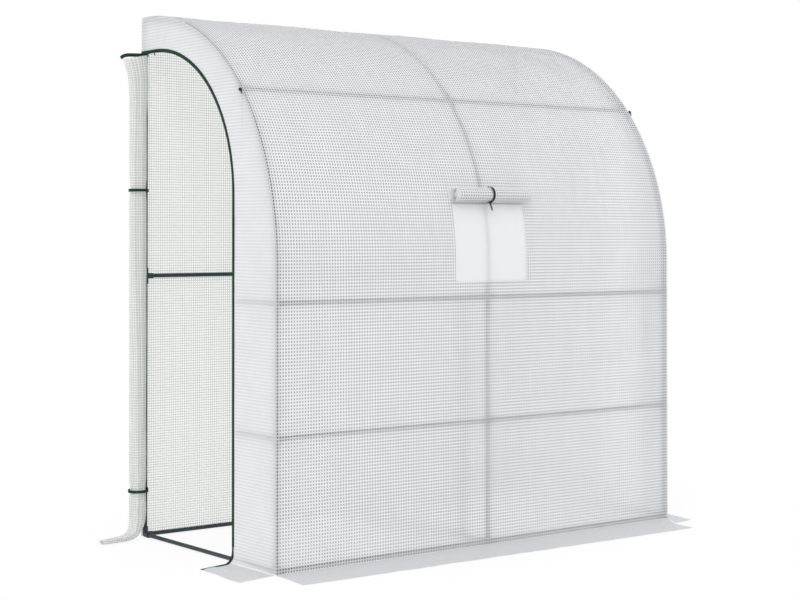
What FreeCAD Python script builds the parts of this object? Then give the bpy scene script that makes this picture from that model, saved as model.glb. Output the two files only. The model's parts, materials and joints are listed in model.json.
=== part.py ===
import FreeCAD, Part
import math
import os
import Sketcher
from FreeCAD import Placement, Rotation, Vector

# Lean-to greenhouse: a tube frame in push-on fittings under a grid film cover.
# Millimetres, +Z up, +Y towards the wall, +X to the right seen from the front.
# The origin is on the floor, under the middle of the whole footprint.

document = FreeCAD.newDocument("LeanToGreenhouse")
sheet = document.addObject("Spreadsheet::Sheet", "Sizes")

SIZES = {
    # Frame tubes and where they stand
    "tube_diameter": 16,
    "tube_wall": 1,
    "bay_width": 1000,
    "depth": 991,
    "lower_rail_height": 491,
    "upper_rail_height": 980,
    "rear_rail_height": 1060,
    "spring_height": 1114,
    "side_arch_radius": 1027,
    "purlin_angle": 40,
    "crown_run": 34,
    "brace_setback": 152,
    # Push-on fittings
    "socket_length": 32,
    "socket_wall": 2.3,
    "socket_clearance": 0.7,
    "stop_web": 1.3,
    "end_play": 0.3,
    # Cover film
    "film_gap": 4,
    "film_thickness": 1.5,
    "seam_gap": 0.3,
    "cover_seam_height": 1440,
    # Window in the front cover
    "window_left": 172,
    "window_right": 195,
    "window_bottom": 1045,
    "window_top": 1345,
    "mesh_thickness": 0.8,
    "mesh_hem": 12,
    # Rolled-up window flap
    "roll_left": 180,
    "roll_right": 209,
    "roll_radius": 30,
    "roll_height": 1378,
    "roll_sheet": 2,
    "roll_pitch": 6,
    "roll_half_turns": 8,
    "roll_gap": 2.2,
    "roll_tail": 38,
    "tie_width": 8,
    "tie_thickness": 1.2,
    "tie_knot_radius": 5,
    "tie_tail_radius": 1.6,
    "tie_tail_length": 42,
    # Door openings and their zips
    "left_zip_line": 295,
    "left_zip_height": 1378,
    "left_zip_crown_run": 116,
    "right_zip_line": 160,
    "right_zip_height": 1280,
    "right_zip_crown_run": 16,
    "zip_width": 10,
    "tape_thickness": 1,
    "coil_radius": 1.6,
    "coil_sink": 0.2,
    "slider_length": 12,
    "slider_width": 9,
    "slider_height": 5,
    "slider_clearance": 0.3,
    "slider_setback": 8,
    "pull_pin_radius": 0.9,
    "pull_pin_clearance": 0.3,
    "pull_eye_wall": 1.2,
    "pull_length": 18,
    "pull_width": 5,
    "pull_thickness": 1.6,
    "lug_thickness": 1.5,
    "end_stay_margin": 25,
    # Skirts on the floor
    "front_skirt_reach": 240,
    "front_skirt_left_reach": 205,
    "front_skirt_flare": 22,
    "skirt_tip_inset": 97,
    "notch_inset": 80,
    "notch_depth": 124,
    "notch_gap": 3,
    "left_skirt_width": 178,
    "left_skirt_droop": 42,
    "left_skirt_inset": 37,
    "left_skirt_taper": 17,
    "right_skirt_width": 81,
    "right_skirt_tip": 48,
    "right_skirt_droop": 97,
    "right_skirt_inset": 10,
    # Left door, rolled up beside the rear post
    "door_roll_radius": 37,
    "door_roll_setback": 42,
    "door_roll_gap": 2,
    "door_roll_top": 1941,
    "door_roll_lobes": 9,
    "door_roll_lobe_share": 0.84,
    "door_roll_foot_height": 90,
    "roll_flare": 217,
    "door_roll_foot_depth": 64,
    "door_roll_foot_shift": 24,
    "door_roll_crown_height": 70,
    "door_roll_crown_width": 120,
    "door_roll_crown_depth": 60,
    "flap_zip_rise": 7,
    "flap_zip_margin": 4,
    "door_tie_height": 12,
    "door_tie_thickness": 1.4,
    "door_tie_gap": 0.6,
    "upper_tie_height": 1400,
    "lower_tie_height": 190,
    # Right door, drawn back in folds
    "flap_front_line": 450,
    "right_rear_strip": 24,
    "flap_folds": 12,
    "flap_fold_depth": 20,
    "flap_thickness": 3,
    "flap_foot": 5,
    "flap_clearance": 2,
    "flap_droop": 30,
    # Ties that hold the cover to the frame
    "knot_radius": 7,
    "knot_gap": 0.4,
    "rib_tie_angle": 39,
    "rib_tie_tail": 165,
    "left_crown_tie": 101,
    "right_crown_tie": 730,
}

for row, (alias, value) in enumerate(SIZES.items(), start=1):
    sheet.set("A%d" % row, alias)
    sheet.set("B%d" % row, str(value))
    sheet.setAlias("B%d" % row, alias)
document.recompute()


def number(expression):
    return float(sheet.evalExpression(expression))


# Lengths and places worked out from the sheet, as expressions
TUBE_RADIUS = "(Sizes.tube_diameter / 2)"
BORE_RADIUS = f"({TUBE_RADIUS} + Sizes.socket_clearance)"
FITTING_RADIUS = f"({BORE_RADIUS} + Sizes.socket_wall)"
STOP = f"({BORE_RADIUS} + Sizes.stop_web)"
SEAT = f"({STOP} + Sizes.end_play)"
INNER_LINE = f"({TUBE_RADIUS} + Sizes.film_gap)"
OUTER_LINE = f"({INNER_LINE} + Sizes.film_thickness)"

MIDDLE = "((Sizes.roll_flare - Sizes.right_skirt_width) / 2)"
LEFT = f"({MIDDLE} - Sizes.bay_width)"
RIGHT = f"({MIDDLE} + Sizes.bay_width)"
FRONT_FACE = "((Sizes.front_skirt_reach - Sizes.depth) / 2)"
WALL_FACE = "((Sizes.front_skirt_reach + Sizes.depth) / 2)"
FRONT_POST = f"({FRONT_FACE} + {OUTER_LINE})"
REAR_POST = f"({WALL_FACE} - {OUTER_LINE})"
BRACE_POST = f"({FRONT_POST} + Sizes.brace_setback)"
FLOOR_RAIL = FITTING_RADIUS

PURLIN_Y = f"({FRONT_POST} + Sizes.side_arch_radius * (1 - cos(Sizes.purlin_angle)))"
PURLIN_Z = "(Sizes.spring_height + Sizes.side_arch_radius * sin(Sizes.purlin_angle))"
CROWN_Y = f"({REAR_POST} - Sizes.crown_run)"
ROOF_RADIUS = f"(({CROWN_Y} - {PURLIN_Y}) / cos(Sizes.purlin_angle))"
CROWN_Z = f"({PURLIN_Z} + {ROOF_RADIUS} * (1 - sin(Sizes.purlin_angle)))"

AIM = {
    "right": (Rotation(Vector(0, 1, 0), 90), Vector(1, 0, 0)),
    "left": (Rotation(Vector(0, 1, 0), -90), Vector(-1, 0, 0)),
    "back": (Rotation(Vector(1, 0, 0), -90), Vector(0, 1, 0)),
    "front": (Rotation(Vector(1, 0, 0), 90), Vector(0, -1, 0)),
    "up": (Rotation(), Vector(0, 0, 1)),
    "down": (Rotation(Vector(1, 0, 0), 180), Vector(0, 0, -1)),
}

nodes = []


def keep(item, label):
    item.Label = label
    nodes.append(item)
    return item


def bind(item, expressions):
    for path, expression in expressions.items():
        item.setExpression(path, expression)


def place(item, x, y, z):
    bind(item, {"Placement.Base.x": x, "Placement.Base.y": y, "Placement.Base.z": z})


def cylinder(name, radius, height):
    item = document.addObject("Part::Cylinder", name)
    bind(item, {"Radius": radius, "Height": height})
    return item


def cut(name, base, tool):
    item = document.addObject("Part::Cut", name)
    item.Base = base
    item.Tool = tool
    return item


def group(label, items):
    item = document.addObject("Part::Compound", label)
    item.Links = items
    return keep(item, label)


# Straight tube seated between one joint's stop and the next
def tube(name, aim, x, y, z, span, end_seat=SEAT):
    rotation, way = AIM[aim]
    length = f"{span} - {SEAT} - {end_seat}"
    outside = cylinder(name + "_outside", TUBE_RADIUS, length)
    bore = cylinder(name + "_bore", f"{TUBE_RADIUS} - Sizes.tube_wall", length)
    item = cut(name, outside, bore)
    item.Placement = Placement(Vector(), rotation)
    place(
        item,
        f"{x} + {way.x} * {SEAT}",
        f"{y} + {way.y} * {SEAT}",
        f"{z} + {way.z} * {SEAT}",
    )
    return item


# Part of a ring of tube about an axis along X
def tube_arc(name, radius, sweep, rotation, y, z, x):
    rings = []
    for part, tube_radius in (("outside", TUBE_RADIUS), ("bore", f"{TUBE_RADIUS} - Sizes.tube_wall")):
        ring = document.addObject("Part::Torus", f"{name}_{part}")
        bind(ring, {"Radius1": radius, "Radius2": tube_radius, "Angle3": sweep})
        rings.append(ring)
    item = cut(name, rings[0], rings[1])
    item.Placement = Placement(Vector(), rotation)
    place(item, x, y, z)
    return item


def fuse(label, items):
    item = document.addObject("Part::MultiFuse", label)
    item.Shapes = items
    return item


# Rotation that lays a ring's start at the front and turns it up and back
FROM_FRONT = Rotation(Vector(0, -1, 0), Vector(0, 0, 1), Vector(-1, 0, 0), "XYZ")
# Rotation that lays a ring's start at the top and turns it down to the front
FROM_CROWN = Rotation(Vector(0, 0, 1), Vector(0, -1, 0), Vector(1, 0, 0), "XYZ")


# Ribs: posts in two lengths, a side arch up to the purlin and a roof arch to the wall
def rib(side, x):
    for part, foot, head in (
        ("front_post_lower", FLOOR_RAIL, "Sizes.lower_rail_height"),
        ("front_post_upper", "Sizes.lower_rail_height", "Sizes.upper_rail_height"),
    ):
        keep(tube(f"{side}_{part}", "up", x, FRONT_POST, foot, f"({head} - {foot})"), f"{side}_{part}")

    seat_turn = f"({SEAT} / Sizes.side_arch_radius * 180 / pi)"
    run = tube(
        f"{side}_side_run", "up", x, FRONT_POST, "Sizes.upper_rail_height",
        "(Sizes.spring_height - Sizes.upper_rail_height)", end_seat="0",
    )
    bend = tube_arc(
        f"{side}_side_bend", "Sizes.side_arch_radius", f"Sizes.purlin_angle - {seat_turn}", FROM_FRONT,
        f"{FRONT_POST} + Sizes.side_arch_radius", "Sizes.spring_height", x,
    )
    keep(fuse(f"{side}_side_arch", [run, bend]), f"{side}_side_arch")

    seat_turn = f"({SEAT} / {ROOF_RADIUS} * 180 / pi)"
    crown = tube(
        f"{side}_crown_run", "front", x, REAR_POST, CROWN_Z, "Sizes.crown_run", end_seat="0",
    )
    bend = tube_arc(
        f"{side}_roof_bend", ROOF_RADIUS, f"90 - Sizes.purlin_angle - {seat_turn}", FROM_CROWN,
        CROWN_Y, f"{CROWN_Z} - {ROOF_RADIUS}", x,
    )
    keep(fuse(f"{side}_roof_arch", [crown, bend]), f"{side}_roof_arch")


for side, x in (("left", LEFT), ("middle", MIDDLE), ("right", RIGHT)):
    rib(side, x)

for side, x in (("left", LEFT), ("right", RIGHT)):
    for part, foot, head in (
        ("rear_post_lower", FLOOR_RAIL, "Sizes.rear_rail_height"),
        ("rear_post_upper", "Sizes.rear_rail_height", CROWN_Z),
    ):
        keep(tube(f"{side}_{part}", "up", x, REAR_POST, foot, f"({head} - {foot})"), f"{side}_{part}")


# Rails along the length, each in two tubes that meet in the middle fitting
RAILS = {
    "front_bottom_rail": (FRONT_POST, FLOOR_RAIL),
    "front_lower_rail": (FRONT_POST, "Sizes.lower_rail_height"),
    "front_upper_rail": (FRONT_POST, "Sizes.upper_rail_height"),
    "roof_purlin": (PURLIN_Y, PURLIN_Z),
    "rear_top_rail": (REAR_POST, CROWN_Z),
    "rear_bottom_rail": (REAR_POST, FLOOR_RAIL),
}
for label, (y, z) in RAILS.items():
    halves = [tube(f"{label}_{side}", side, MIDDLE, y, z, "Sizes.bay_width") for side in ("left", "right")]
    group(label, halves)
rear_mid_rail = tube(
    "rear_mid_rail", "right", LEFT, REAR_POST, "Sizes.rear_rail_height", "2 * Sizes.bay_width",
)
keep(rear_mid_rail, "rear_mid_rail")

# Rails across the depth on the floor
ACROSS = f"({REAR_POST} - {FRONT_POST})"
for side, x in (("left", LEFT), ("right", RIGHT)):
    keep(tube(f"{side}_floor_rail", "back", x, FRONT_POST, FLOOR_RAIL, ACROSS), f"{side}_floor_rail")
group("middle_floor_rail", [
    tube("middle_floor_front", "back", MIDDLE, FRONT_POST, FLOOR_RAIL, "Sizes.brace_setback"),
    tube("middle_floor_rear", "back", MIDDLE, BRACE_POST, FLOOR_RAIL, f"({REAR_POST} - {BRACE_POST})"),
])

# Short stays in the end strips and the brace behind the middle post
for side, x in (("left", LEFT), ("right", RIGHT)):
    reach = f"(Sizes.{side}_zip_line - {OUTER_LINE} - Sizes.end_stay_margin)"
    group(f"{side}_end_stays", [
        tube(f"{side}_{level}_stay", "back", x, FRONT_POST, f"Sizes.{level}_rail_height", reach, "0")
        for level in ("lower", "upper")
    ])
BRACE_RISE = f"(Sizes.upper_rail_height - {FLOOR_RAIL})"
keep(tube("middle_brace_post", "up", MIDDLE, BRACE_POST, FLOOR_RAIL, BRACE_RISE), "middle_brace_post")
keep(
    tube("middle_brace_stay", "back", MIDDLE, FRONT_POST, "Sizes.upper_rail_height", "Sizes.brace_setback"),
    "middle_brace_stay",
)


# Push-on fitting: a ball with one blind socket for each tube
def fitting(name, arms, x, y, z, tilt=None):
    ball = document.addObject("Part::Sphere", name + "_ball")
    bind(ball, {"Radius": FITTING_RADIUS})
    sleeves = [ball]
    bores = []
    for arm in arms:
        rotation, way = AIM[arm]
        sleeve = cylinder(f"{name}_{arm}_sleeve", FITTING_RADIUS, "Sizes.socket_length")
        sleeve.Placement = Placement(Vector(), rotation)
        sleeves.append(sleeve)
        bore = cylinder(f"{name}_{arm}_bore", BORE_RADIUS, "Sizes.socket_length")
        bore.Placement = Placement(Vector(), rotation)
        place(bore, f"{way.x} * {STOP}", f"{way.y} * {STOP}", f"{way.z} * {STOP}")
        bores.append(bore)
    tool = document.addObject("Part::Compound", name + "_bores")
    tool.Links = bores
    item = cut(name, fuse(name + "_sleeves", sleeves), tool)
    place(item, x, y, z)
    if tilt:
        item.Placement = Placement(Vector(), Rotation(Vector(-1, 0, 0), 1))
        item.setExpression("Placement.Rotation.Angle", tilt)
    return item


def inward(side):
    return {"left": ["right"], "middle": ["left", "right"], "right": ["left"]}[side]


COLUMNS = (("left", LEFT), ("middle", MIDDLE), ("right", RIGHT))
OUTER_COLUMNS = (COLUMNS[0], COLUMNS[2])

group("floor_corner_fittings", [
    fitting(f"{side}_{end}_floor_corner", inward(side) + [across, "up"], x, y, FLOOR_RAIL)
    for side, x in OUTER_COLUMNS
    for end, y, across in (("front", FRONT_POST, "back"), ("rear", REAR_POST, "front"))
])
group("floor_tee_fittings", [
    fitting("front_floor_tee", ["left", "right", "back", "up"], MIDDLE, FRONT_POST, FLOOR_RAIL),
    fitting("rear_floor_tee", ["left", "right", "front"], MIDDLE, REAR_POST, FLOOR_RAIL),
    fitting("brace_foot_tee", ["front", "back", "up"], MIDDLE, BRACE_POST, FLOOR_RAIL),
])


def rail_cross(side, level, x):
    stay = [] if (side, level) == ("middle", "lower") else ["back"]
    arms = inward(side) + ["up", "down"] + stay
    return fitting(f"{side}_{level}_cross", arms, x, FRONT_POST, f"Sizes.{level}_rail_height")


brace_elbow = fitting("brace_elbow", ["front", "down"], MIDDLE, BRACE_POST, "Sizes.upper_rail_height")
group("lower_rail_fittings", [rail_cross(side, "lower", x) for side, x in COLUMNS])
group("upper_rail_fittings", [rail_cross(side, "upper", x) for side, x in COLUMNS] + [brace_elbow])
group("purlin_fittings", [
    fitting(
        f"{side}_purlin_cross", inward(side) + ["up", "down"],
        x, PURLIN_Y, PURLIN_Z, "Sizes.purlin_angle",
    )
    for side, x in COLUMNS
])
group("top_fittings", [
    fitting(
        f"{side}_top_corner", inward(side) + ["front"] + ([] if side == "middle" else ["down"]),
        x, REAR_POST, CROWN_Z,
    )
    for side, x in COLUMNS
])
group("rear_tee_fittings", [
    fitting(f"{side}_rear_tee", inward(side) + ["up", "down"], x, REAR_POST, "Sizes.rear_rail_height")
    for side, x in OUTER_COLUMNS
])

# Sizes and places of the cover, read from the sheet
document.recompute()


def size(alias):
    return number("Sizes." + alias)


middle = number(MIDDLE)
left_rib = number(LEFT)
right_rib = number(RIGHT)
front_face = number(FRONT_FACE)
wall_face = number(WALL_FACE)
front_post = number(FRONT_POST)
rear_post = number(REAR_POST)
inner_line = number(INNER_LINE)
outer_line = number(OUTER_LINE)
half_width = size("bay_width") + outer_line
film = size("film_thickness")
rear_film = wall_face - film
side_centre = Vector(0, front_post + size("side_arch_radius"), size("spring_height"))
roof_centre = Vector(0, number(CROWN_Y), number(CROWN_Z) - number(ROOF_RADIUS))
purlin_angle = math.radians(size("purlin_angle"))
beyond = 20


def feature(label, shape):
    item = document.addObject("Part::Feature", label)
    item.Shape = shape
    item.Placement = shape.Placement
    return keep(item, label)


def box(x0, x1, y0, y1, z0, z1):
    return Part.makeBox(x1 - x0, y1 - y0, z1 - z0, Vector(x0, y0, z0))


def arc(start, middle_point, end):
    return Part.Arc(start, middle_point, end).toShape()


def prism(edges, run):
    face = Part.Face(Part.Wire(Part.__sortEdges__(edges)))
    return face.extrude(run)


def polygon_prism(points, run):
    return Part.Face(Part.makePolygon(points + points[:1])).extrude(run)


# Point on the side arch or the roof arch at an angle above the level, offset outwards
def arch_point(centre, radius, angle):
    return centre + Vector(0, -radius * math.cos(angle), radius * math.sin(angle))


# Solid under the ribs' line, offset outwards, between two places along X
def under_line(offset, x0, x1, foot, wall):
    side_radius = size("side_arch_radius") + offset
    roof_radius = number(ROOF_RADIUS) + offset
    spring = arch_point(side_centre, side_radius, 0)
    joint = arch_point(side_centre, side_radius, purlin_angle)
    crown = arch_point(roof_centre, roof_radius, math.pi / 2)
    corners = [Vector(0, spring.y, foot), Vector(0, wall, foot), Vector(0, wall, crown.z)]
    edges = [
        Part.makeLine(corners[0], spring),
        arc(spring, arch_point(side_centre, side_radius, purlin_angle / 2), joint),
        arc(joint, arch_point(roof_centre, roof_radius, (purlin_angle + math.pi / 2) / 2), crown),
        Part.makeLine(crown, corners[2]),
        Part.makeLine(corners[2], corners[1]),
        Part.makeLine(corners[1], corners[0]),
    ]
    solid = prism(edges, Vector(x1 - x0, 0, 0))
    solid.translate(Vector(x0, 0, 0))
    return solid


# Sheet that follows the ribs between two offsets
def rib_sheet(inside, outside, x0, x1):
    outer = under_line(outside, x0, x1, film, wall_face)
    inner = under_line(inside, x0 - beyond, x1 + beyond, film - beyond, wall_face + beyond)
    return outer.cut(inner)


# Front and roof films with the window hole, and the mesh sewn behind it
all_around = (
    middle - half_width - beyond, middle + half_width + beyond, front_face - beyond, wall_face + beyond,
)
cover_sheet = rib_sheet(inner_line, outer_line, middle - half_width, middle + half_width)
seam_height = size("cover_seam_height")
window = box(
    middle - size("window_left"), middle + size("window_right"),
    front_face - beyond, rear_post, size("window_bottom"), size("window_top"),
)
below_seam = box(*all_around, 0, seam_height)
above_seam = box(*all_around, seam_height, number(CROWN_Z) + outer_line + beyond)
feature("front_cover", cover_sheet.common(below_seam).cut(window))
feature("roof_cover", cover_sheet.common(above_seam))

hem = size("mesh_hem")
mesh_area = box(
    middle - size("window_left") - hem, middle + size("window_right") + hem,
    front_face - beyond, rear_post, size("window_bottom") - hem, size("window_top") + hem,
)
mesh_sheet = rib_sheet(
    inner_line - size("mesh_thickness"), inner_line, middle - half_width, middle + half_width,
)
feature("window_mesh", mesh_sheet.common(mesh_area))


# Rear film: one flat panel against the wall
def origin_plane(body, role):
    return next(item for item in body.Origin.OriginFeatures if item.Role == role)


rear_cover = document.addObject("PartDesign::Body", "rear_cover")
panel = rear_cover.newObject("Sketcher::SketchObject", "rear_panel")
panel.AttachmentSupport = [(origin_plane(rear_cover, "XZ_Plane"), "")]
panel.MapMode = "FlatFace"
PANEL_HALF = f"Sizes.bay_width + {OUTER_LINE}"
PANEL_TOP = f"{CROWN_Z} + {INNER_LINE} - Sizes.seam_gap"
panel_top = number(PANEL_TOP)
panel_corners = [
    Vector(-half_width, 0, 0), Vector(half_width, 0, 0),
    Vector(half_width, panel_top, 0), Vector(-half_width, panel_top, 0),
]
for start, end in zip(panel_corners, panel_corners[1:] + panel_corners[:1]):
    panel.addGeometry(Part.LineSegment(start, end))
for edge in range(4):
    panel.addConstraint(Sketcher.Constraint("Coincident", edge, 2, (edge + 1) % 4, 1))
for edge in (0, 2):
    panel.addConstraint(Sketcher.Constraint("Horizontal", edge))
for edge in (1, 3):
    panel.addConstraint(Sketcher.Constraint("Vertical", edge))
for kind, first, first_end, second, second_end, start_value, name, expression in (
    ("DistanceX", 0, 1, -1, 1, half_width, "left_reach", PANEL_HALF),
    ("DistanceX", -1, 1, 0, 2, half_width, "right_reach", PANEL_HALF),
    ("DistanceY", 0, 2, 2, 1, panel_top, "height", PANEL_TOP),
):
    index = panel.addConstraint(Sketcher.Constraint(kind, first, first_end, second, second_end, start_value))
    panel.renameConstraint(index, name)
    panel.setExpression("Constraints." + name, expression)
panel.addConstraint(Sketcher.Constraint("PointOnObject", 0, 1, -1))
sheet_pad = rear_cover.newObject("PartDesign::Pad", "rear_sheet")
sheet_pad.Profile = panel
sheet_pad.setExpression("Length", "Sizes.film_thickness")
place(rear_cover, MIDDLE, WALL_FACE, "0")
keep(rear_cover, "rear_cover")


# Solid behind a door's zip line, moved forwards by an offset
def behind_zip(side, offset, x0, x1, wall):
    zip_line = front_face + size(f"{side}_zip_line")
    centre = Vector(0, wall_face - size(f"{side}_zip_crown_run"), size(f"{side}_zip_height"))
    radius = centre.y - zip_line + offset
    spring = arch_point(centre, radius, 0)
    crown = arch_point(centre, radius, math.pi / 2)
    foot = Vector(0, spring.y, 0)
    wall_foot = Vector(0, wall, 0)
    wall_head = Vector(0, wall, crown.z)
    edges = [
        Part.makeLine(foot, spring),
        arc(spring, arch_point(centre, radius, math.pi / 4), crown),
        Part.makeLine(crown, wall_head),
        Part.makeLine(wall_head, wall_foot),
        Part.makeLine(wall_foot, foot),
    ]
    solid = prism(edges, Vector(x1 - x0, 0, 0))
    solid.translate(Vector(x0, 0, 0))
    return solid


# Outward direction of one end, and its film's outer face
def outward_way(side):
    return -1 if side == "left" else 1


def end_face(side):
    rib_x = left_rib if side == "left" else right_rib
    return rib_x + outward_way(side) * outer_line


def span(first, second):
    return min(first, second), max(first, second)


def end_cover(side):
    outer_face = end_face(side)
    x0, x1 = span(outer_face, outer_face - outward_way(side) * film)
    panel_solid = under_line(inner_line - size("seam_gap"), x0, x1, film, rear_film)
    opening = behind_zip(side, 0, x0 - beyond, x1 + beyond, wall_face + beyond)
    panel_solid = panel_solid.cut(opening)
    if side == "right":
        arch_radius = wall_face - size("right_zip_crown_run") - front_face - size("right_zip_line")
        zip_top = size("right_zip_height") + arch_radius
        strip = box(x0, x1, rear_film - size("right_rear_strip"), rear_film, film, zip_top)
        panel_solid = panel_solid.fuse(strip).removeSplitter()
    return panel_solid


for side in ("left", "right"):
    feature(f"{side}_end_cover", end_cover(side))


# Skirts that lie on the floor
def skirt(points):
    corners = [Vector(middle + x, front_face + y, 0) for x, y in points]
    return polygon_prism(corners, Vector(0, 0, film))


notch_x = half_width - size("notch_inset")
feature("front_skirt", skirt([
    (-half_width, film),
    (half_width - size("notch_gap"), film),
    (notch_x - size("notch_gap"), -size("notch_depth")),
    (half_width - size("skirt_tip_inset"), -size("front_skirt_reach")),
    (-half_width - size("front_skirt_flare"), -size("front_skirt_left_reach")),
]))
left_tip = (
    -half_width - size("left_skirt_width") + size("left_skirt_taper"),
    size("left_zip_line") - size("left_skirt_inset"),
)
feature("left_skirt", skirt([
    (-half_width + film, film + size("notch_gap")),
    (-half_width + film, size("left_zip_line")),
    (-half_width, size("left_zip_line")),
    left_tip,
    (-half_width - size("left_skirt_width"), -size("left_skirt_droop")),
    (-half_width, film + size("notch_gap")),
]))
right_tip = (half_width + size("right_skirt_width"), size("right_zip_line") - size("right_skirt_inset"))
feature("right_skirt", skirt([
    (half_width - film, film + size("seam_gap")),
    (half_width - film, size("right_zip_line")),
    (half_width, size("right_zip_line")),
    right_tip,
    (half_width + size("right_skirt_tip"), -size("right_skirt_droop")),
    (notch_x, -size("notch_depth")),
    (half_width, film),
]))


# Zip tape along the door's edge and out over the skirt, with its coil
def zip_centre(side):
    return Vector(0, wall_face - size(f"{side}_zip_crown_run"), size(f"{side}_zip_height"))


def coil_radius_about(side):
    return zip_centre(side).y - front_face - size(f"{side}_zip_line") + size("zip_width") / 2


def coil_x(side):
    outer_face = end_face(side)
    outward = outward_way(side)
    return outer_face + outward * (size("tape_thickness") + size("coil_radius") - size("coil_sink"))


def zip_tape(side, skirt_tip):
    outer_face = end_face(side)
    outward = outward_way(side)
    x0, x1 = span(outer_face, outer_face + outward * size("tape_thickness"))
    band = behind_zip(side, size("zip_width"), x0, x1, rear_film)
    band = band.cut(behind_zip(side, 0, x0 - beyond, x1 + beyond, wall_face + beyond))
    band = band.common(box(x0 - beyond, x1 + beyond, front_face, wall_face, film, number(CROWN_Z) + beyond))

    start = Vector(outer_face, front_face + size(f"{side}_zip_line"), film)
    end = Vector(middle + skirt_tip[0], front_face + skirt_tip[1], film)
    along = (end - start).normalize()
    across = Vector(-along.y, along.x, 0) * (-size("zip_width") if along.x > 0 else size("zip_width"))
    corners = [start, end, end + across, start + across]
    floor_band = polygon_prism(corners, Vector(0, 0, size("tape_thickness")))
    inside = span(outer_face, outer_face - outward * beyond)
    floor_band = floor_band.cut(box(*inside, start.y - beyond, start.y + beyond, 0, 2 * beyond))

    centre = zip_centre(side) + Vector(coil_x(side), 0, 0)
    radius = coil_radius_about(side)
    spring = arch_point(centre, radius, 0)
    crown = arch_point(centre, radius, math.pi / 2)
    foot = Vector(spring.x, spring.y, film + size("tape_thickness") / 2)
    thickness = size("coil_radius")
    bend = Part.makeTorus(radius, thickness, Vector(), Vector(0, 0, 1), -180, 180, 90)
    bend.Placement = Placement(centre, FROM_FRONT)
    upright = Part.makeCylinder(thickness, spring.z - foot.z, foot, Vector(0, 0, 1))
    level = Part.makeCylinder(thickness, rear_film - crown.y, crown, Vector(0, 1, 0))
    upright.rotate(foot, Vector(0, 0, 1), 90)
    level.rotate(crown, Vector(0, 1, 0), 90)
    return band.fuse([floor_band, upright, bend, level]).removeSplitter()


feature("left_zip_tape", zip_tape("left", left_tip))
feature("right_zip_tape", zip_tape("right", right_tip))


# Zip slider on the coil, with the lugs and pin that carry its pull tab
def slider_turn(side):
    return Rotation(Vector(1, 0, 0), math.degrees(size("slider_setback") / coil_radius_about(side)))


def pull_pin_place(side):
    outer_face = end_face(side)
    outward = outward_way(side)
    tape_face = outer_face + outward * size("tape_thickness")
    eye_radius = size("pull_pin_radius") + size("pull_pin_clearance") + size("pull_eye_wall")
    top_face = tape_face + outward * (size("slider_clearance") + size("slider_height"))
    return Vector(top_face + outward * (eye_radius + size("slider_clearance")), 0, coil_radius_about(side))


def at_rest(side, shape):
    turned = shape.copy()
    turned.rotate(Vector(), Vector(1, 0, 0), slider_turn(side).Angle * 180 / math.pi)
    turned.translate(zip_centre(side))
    return turned


def zip_slider(side):
    outer_face = end_face(side)
    outward = outward_way(side)
    tape_face = outer_face + outward * size("tape_thickness")
    x0, x1 = span(
        tape_face + outward * size("slider_clearance"),
        tape_face + outward * (size("slider_clearance") + size("slider_height")),
    )
    radius = coil_radius_about(side)
    half_length = size("slider_length") / 2
    half_span = size("slider_width") / 2
    block = box(x0, x1, -half_length, half_length, radius - half_span, radius + half_span)
    groove_radius = size("coil_radius") + size("slider_clearance")
    groove = Part.makeTorus(radius, groove_radius, Vector(coil_x(side), 0, 0), Vector(1, 0, 0))
    pin = pull_pin_place(side)
    eye_radius = size("pull_pin_radius") + size("pull_pin_clearance") + size("pull_eye_wall")
    pin_half = size("pull_width") / 2 + size("slider_clearance") + size("lug_thickness")
    lug_x = span(pin.x + outward * eye_radius, x0 if outward < 0 else x1)
    lugs = []
    for way in (-1, 1):
        lug_y = span(way * pin_half, way * (pin_half - size("lug_thickness")))
        lugs.append(box(*lug_x, *lug_y, radius - eye_radius, radius + eye_radius))
    rod = Part.makeCylinder(
        size("pull_pin_radius"), 2 * pin_half, Vector(pin.x, -pin_half, radius), Vector(0, 1, 0),
    )
    return block.cut(groove).fuse(lugs + [rod]).removeSplitter()


def pull_tab(side):
    pin = pull_pin_place(side)
    half_span = size("pull_width") / 2
    hole = size("pull_pin_radius") + size("pull_pin_clearance")
    start = Vector(pin.x, -half_span, pin.z)
    eye = Part.makeCylinder(hole + size("pull_eye_wall"), 2 * half_span, start, Vector(0, 1, 0))
    half_thickness = size("pull_thickness") / 2
    blade = box(
        pin.x - half_thickness, pin.x + half_thickness, -half_span, half_span,
        pin.z - size("pull_length"), pin.z - hole,
    )
    bore = Part.makeCylinder(hole, 2 * half_span, start, Vector(0, 1, 0))
    return eye.fuse(blade).cut(bore).removeSplitter()


for side in ("left", "right"):
    feature(f"{side}_zip_slider", at_rest(side, zip_slider(side)))
    feature(f"{side}_zip_pull", at_rest(side, pull_tab(side)))


# Window flap rolled up above the window, in the plane of its own section
roll_rise = size("roll_height") - size("spring_height")
roll_angle = math.asin(roll_rise / (size("side_arch_radius") + outer_line))
roll_radius = size("roll_radius")
roll_centre = arch_point(
    side_centre, size("side_arch_radius") + outer_line + size("roll_gap") + roll_radius, roll_angle,
)


def on_roll(shape):
    turned = shape.copy()
    turned.rotate(Vector(), Vector(1, 0, 0), -math.degrees(roll_angle))
    turned.translate(roll_centre + Vector(middle, 0, 0))
    return turned


# Spiral of half circles, each smaller than the last by half the pitch
def spiral(shrink):
    edges = []
    step = size("roll_pitch") / 2
    start = roll_radius - shrink
    for turn in range(int(size("roll_half_turns"))):
        radius = roll_radius - turn * step - shrink
        way = 1 if turn % 2 == 0 else -1
        centre = 0 if turn % 2 == 0 else -step
        first = Vector(0, centre + way * radius, 0)
        last = Vector(0, centre - way * radius, 0)
        edges.append(arc(first, Vector(0, centre, -way * radius), last))
    return edges, last


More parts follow.
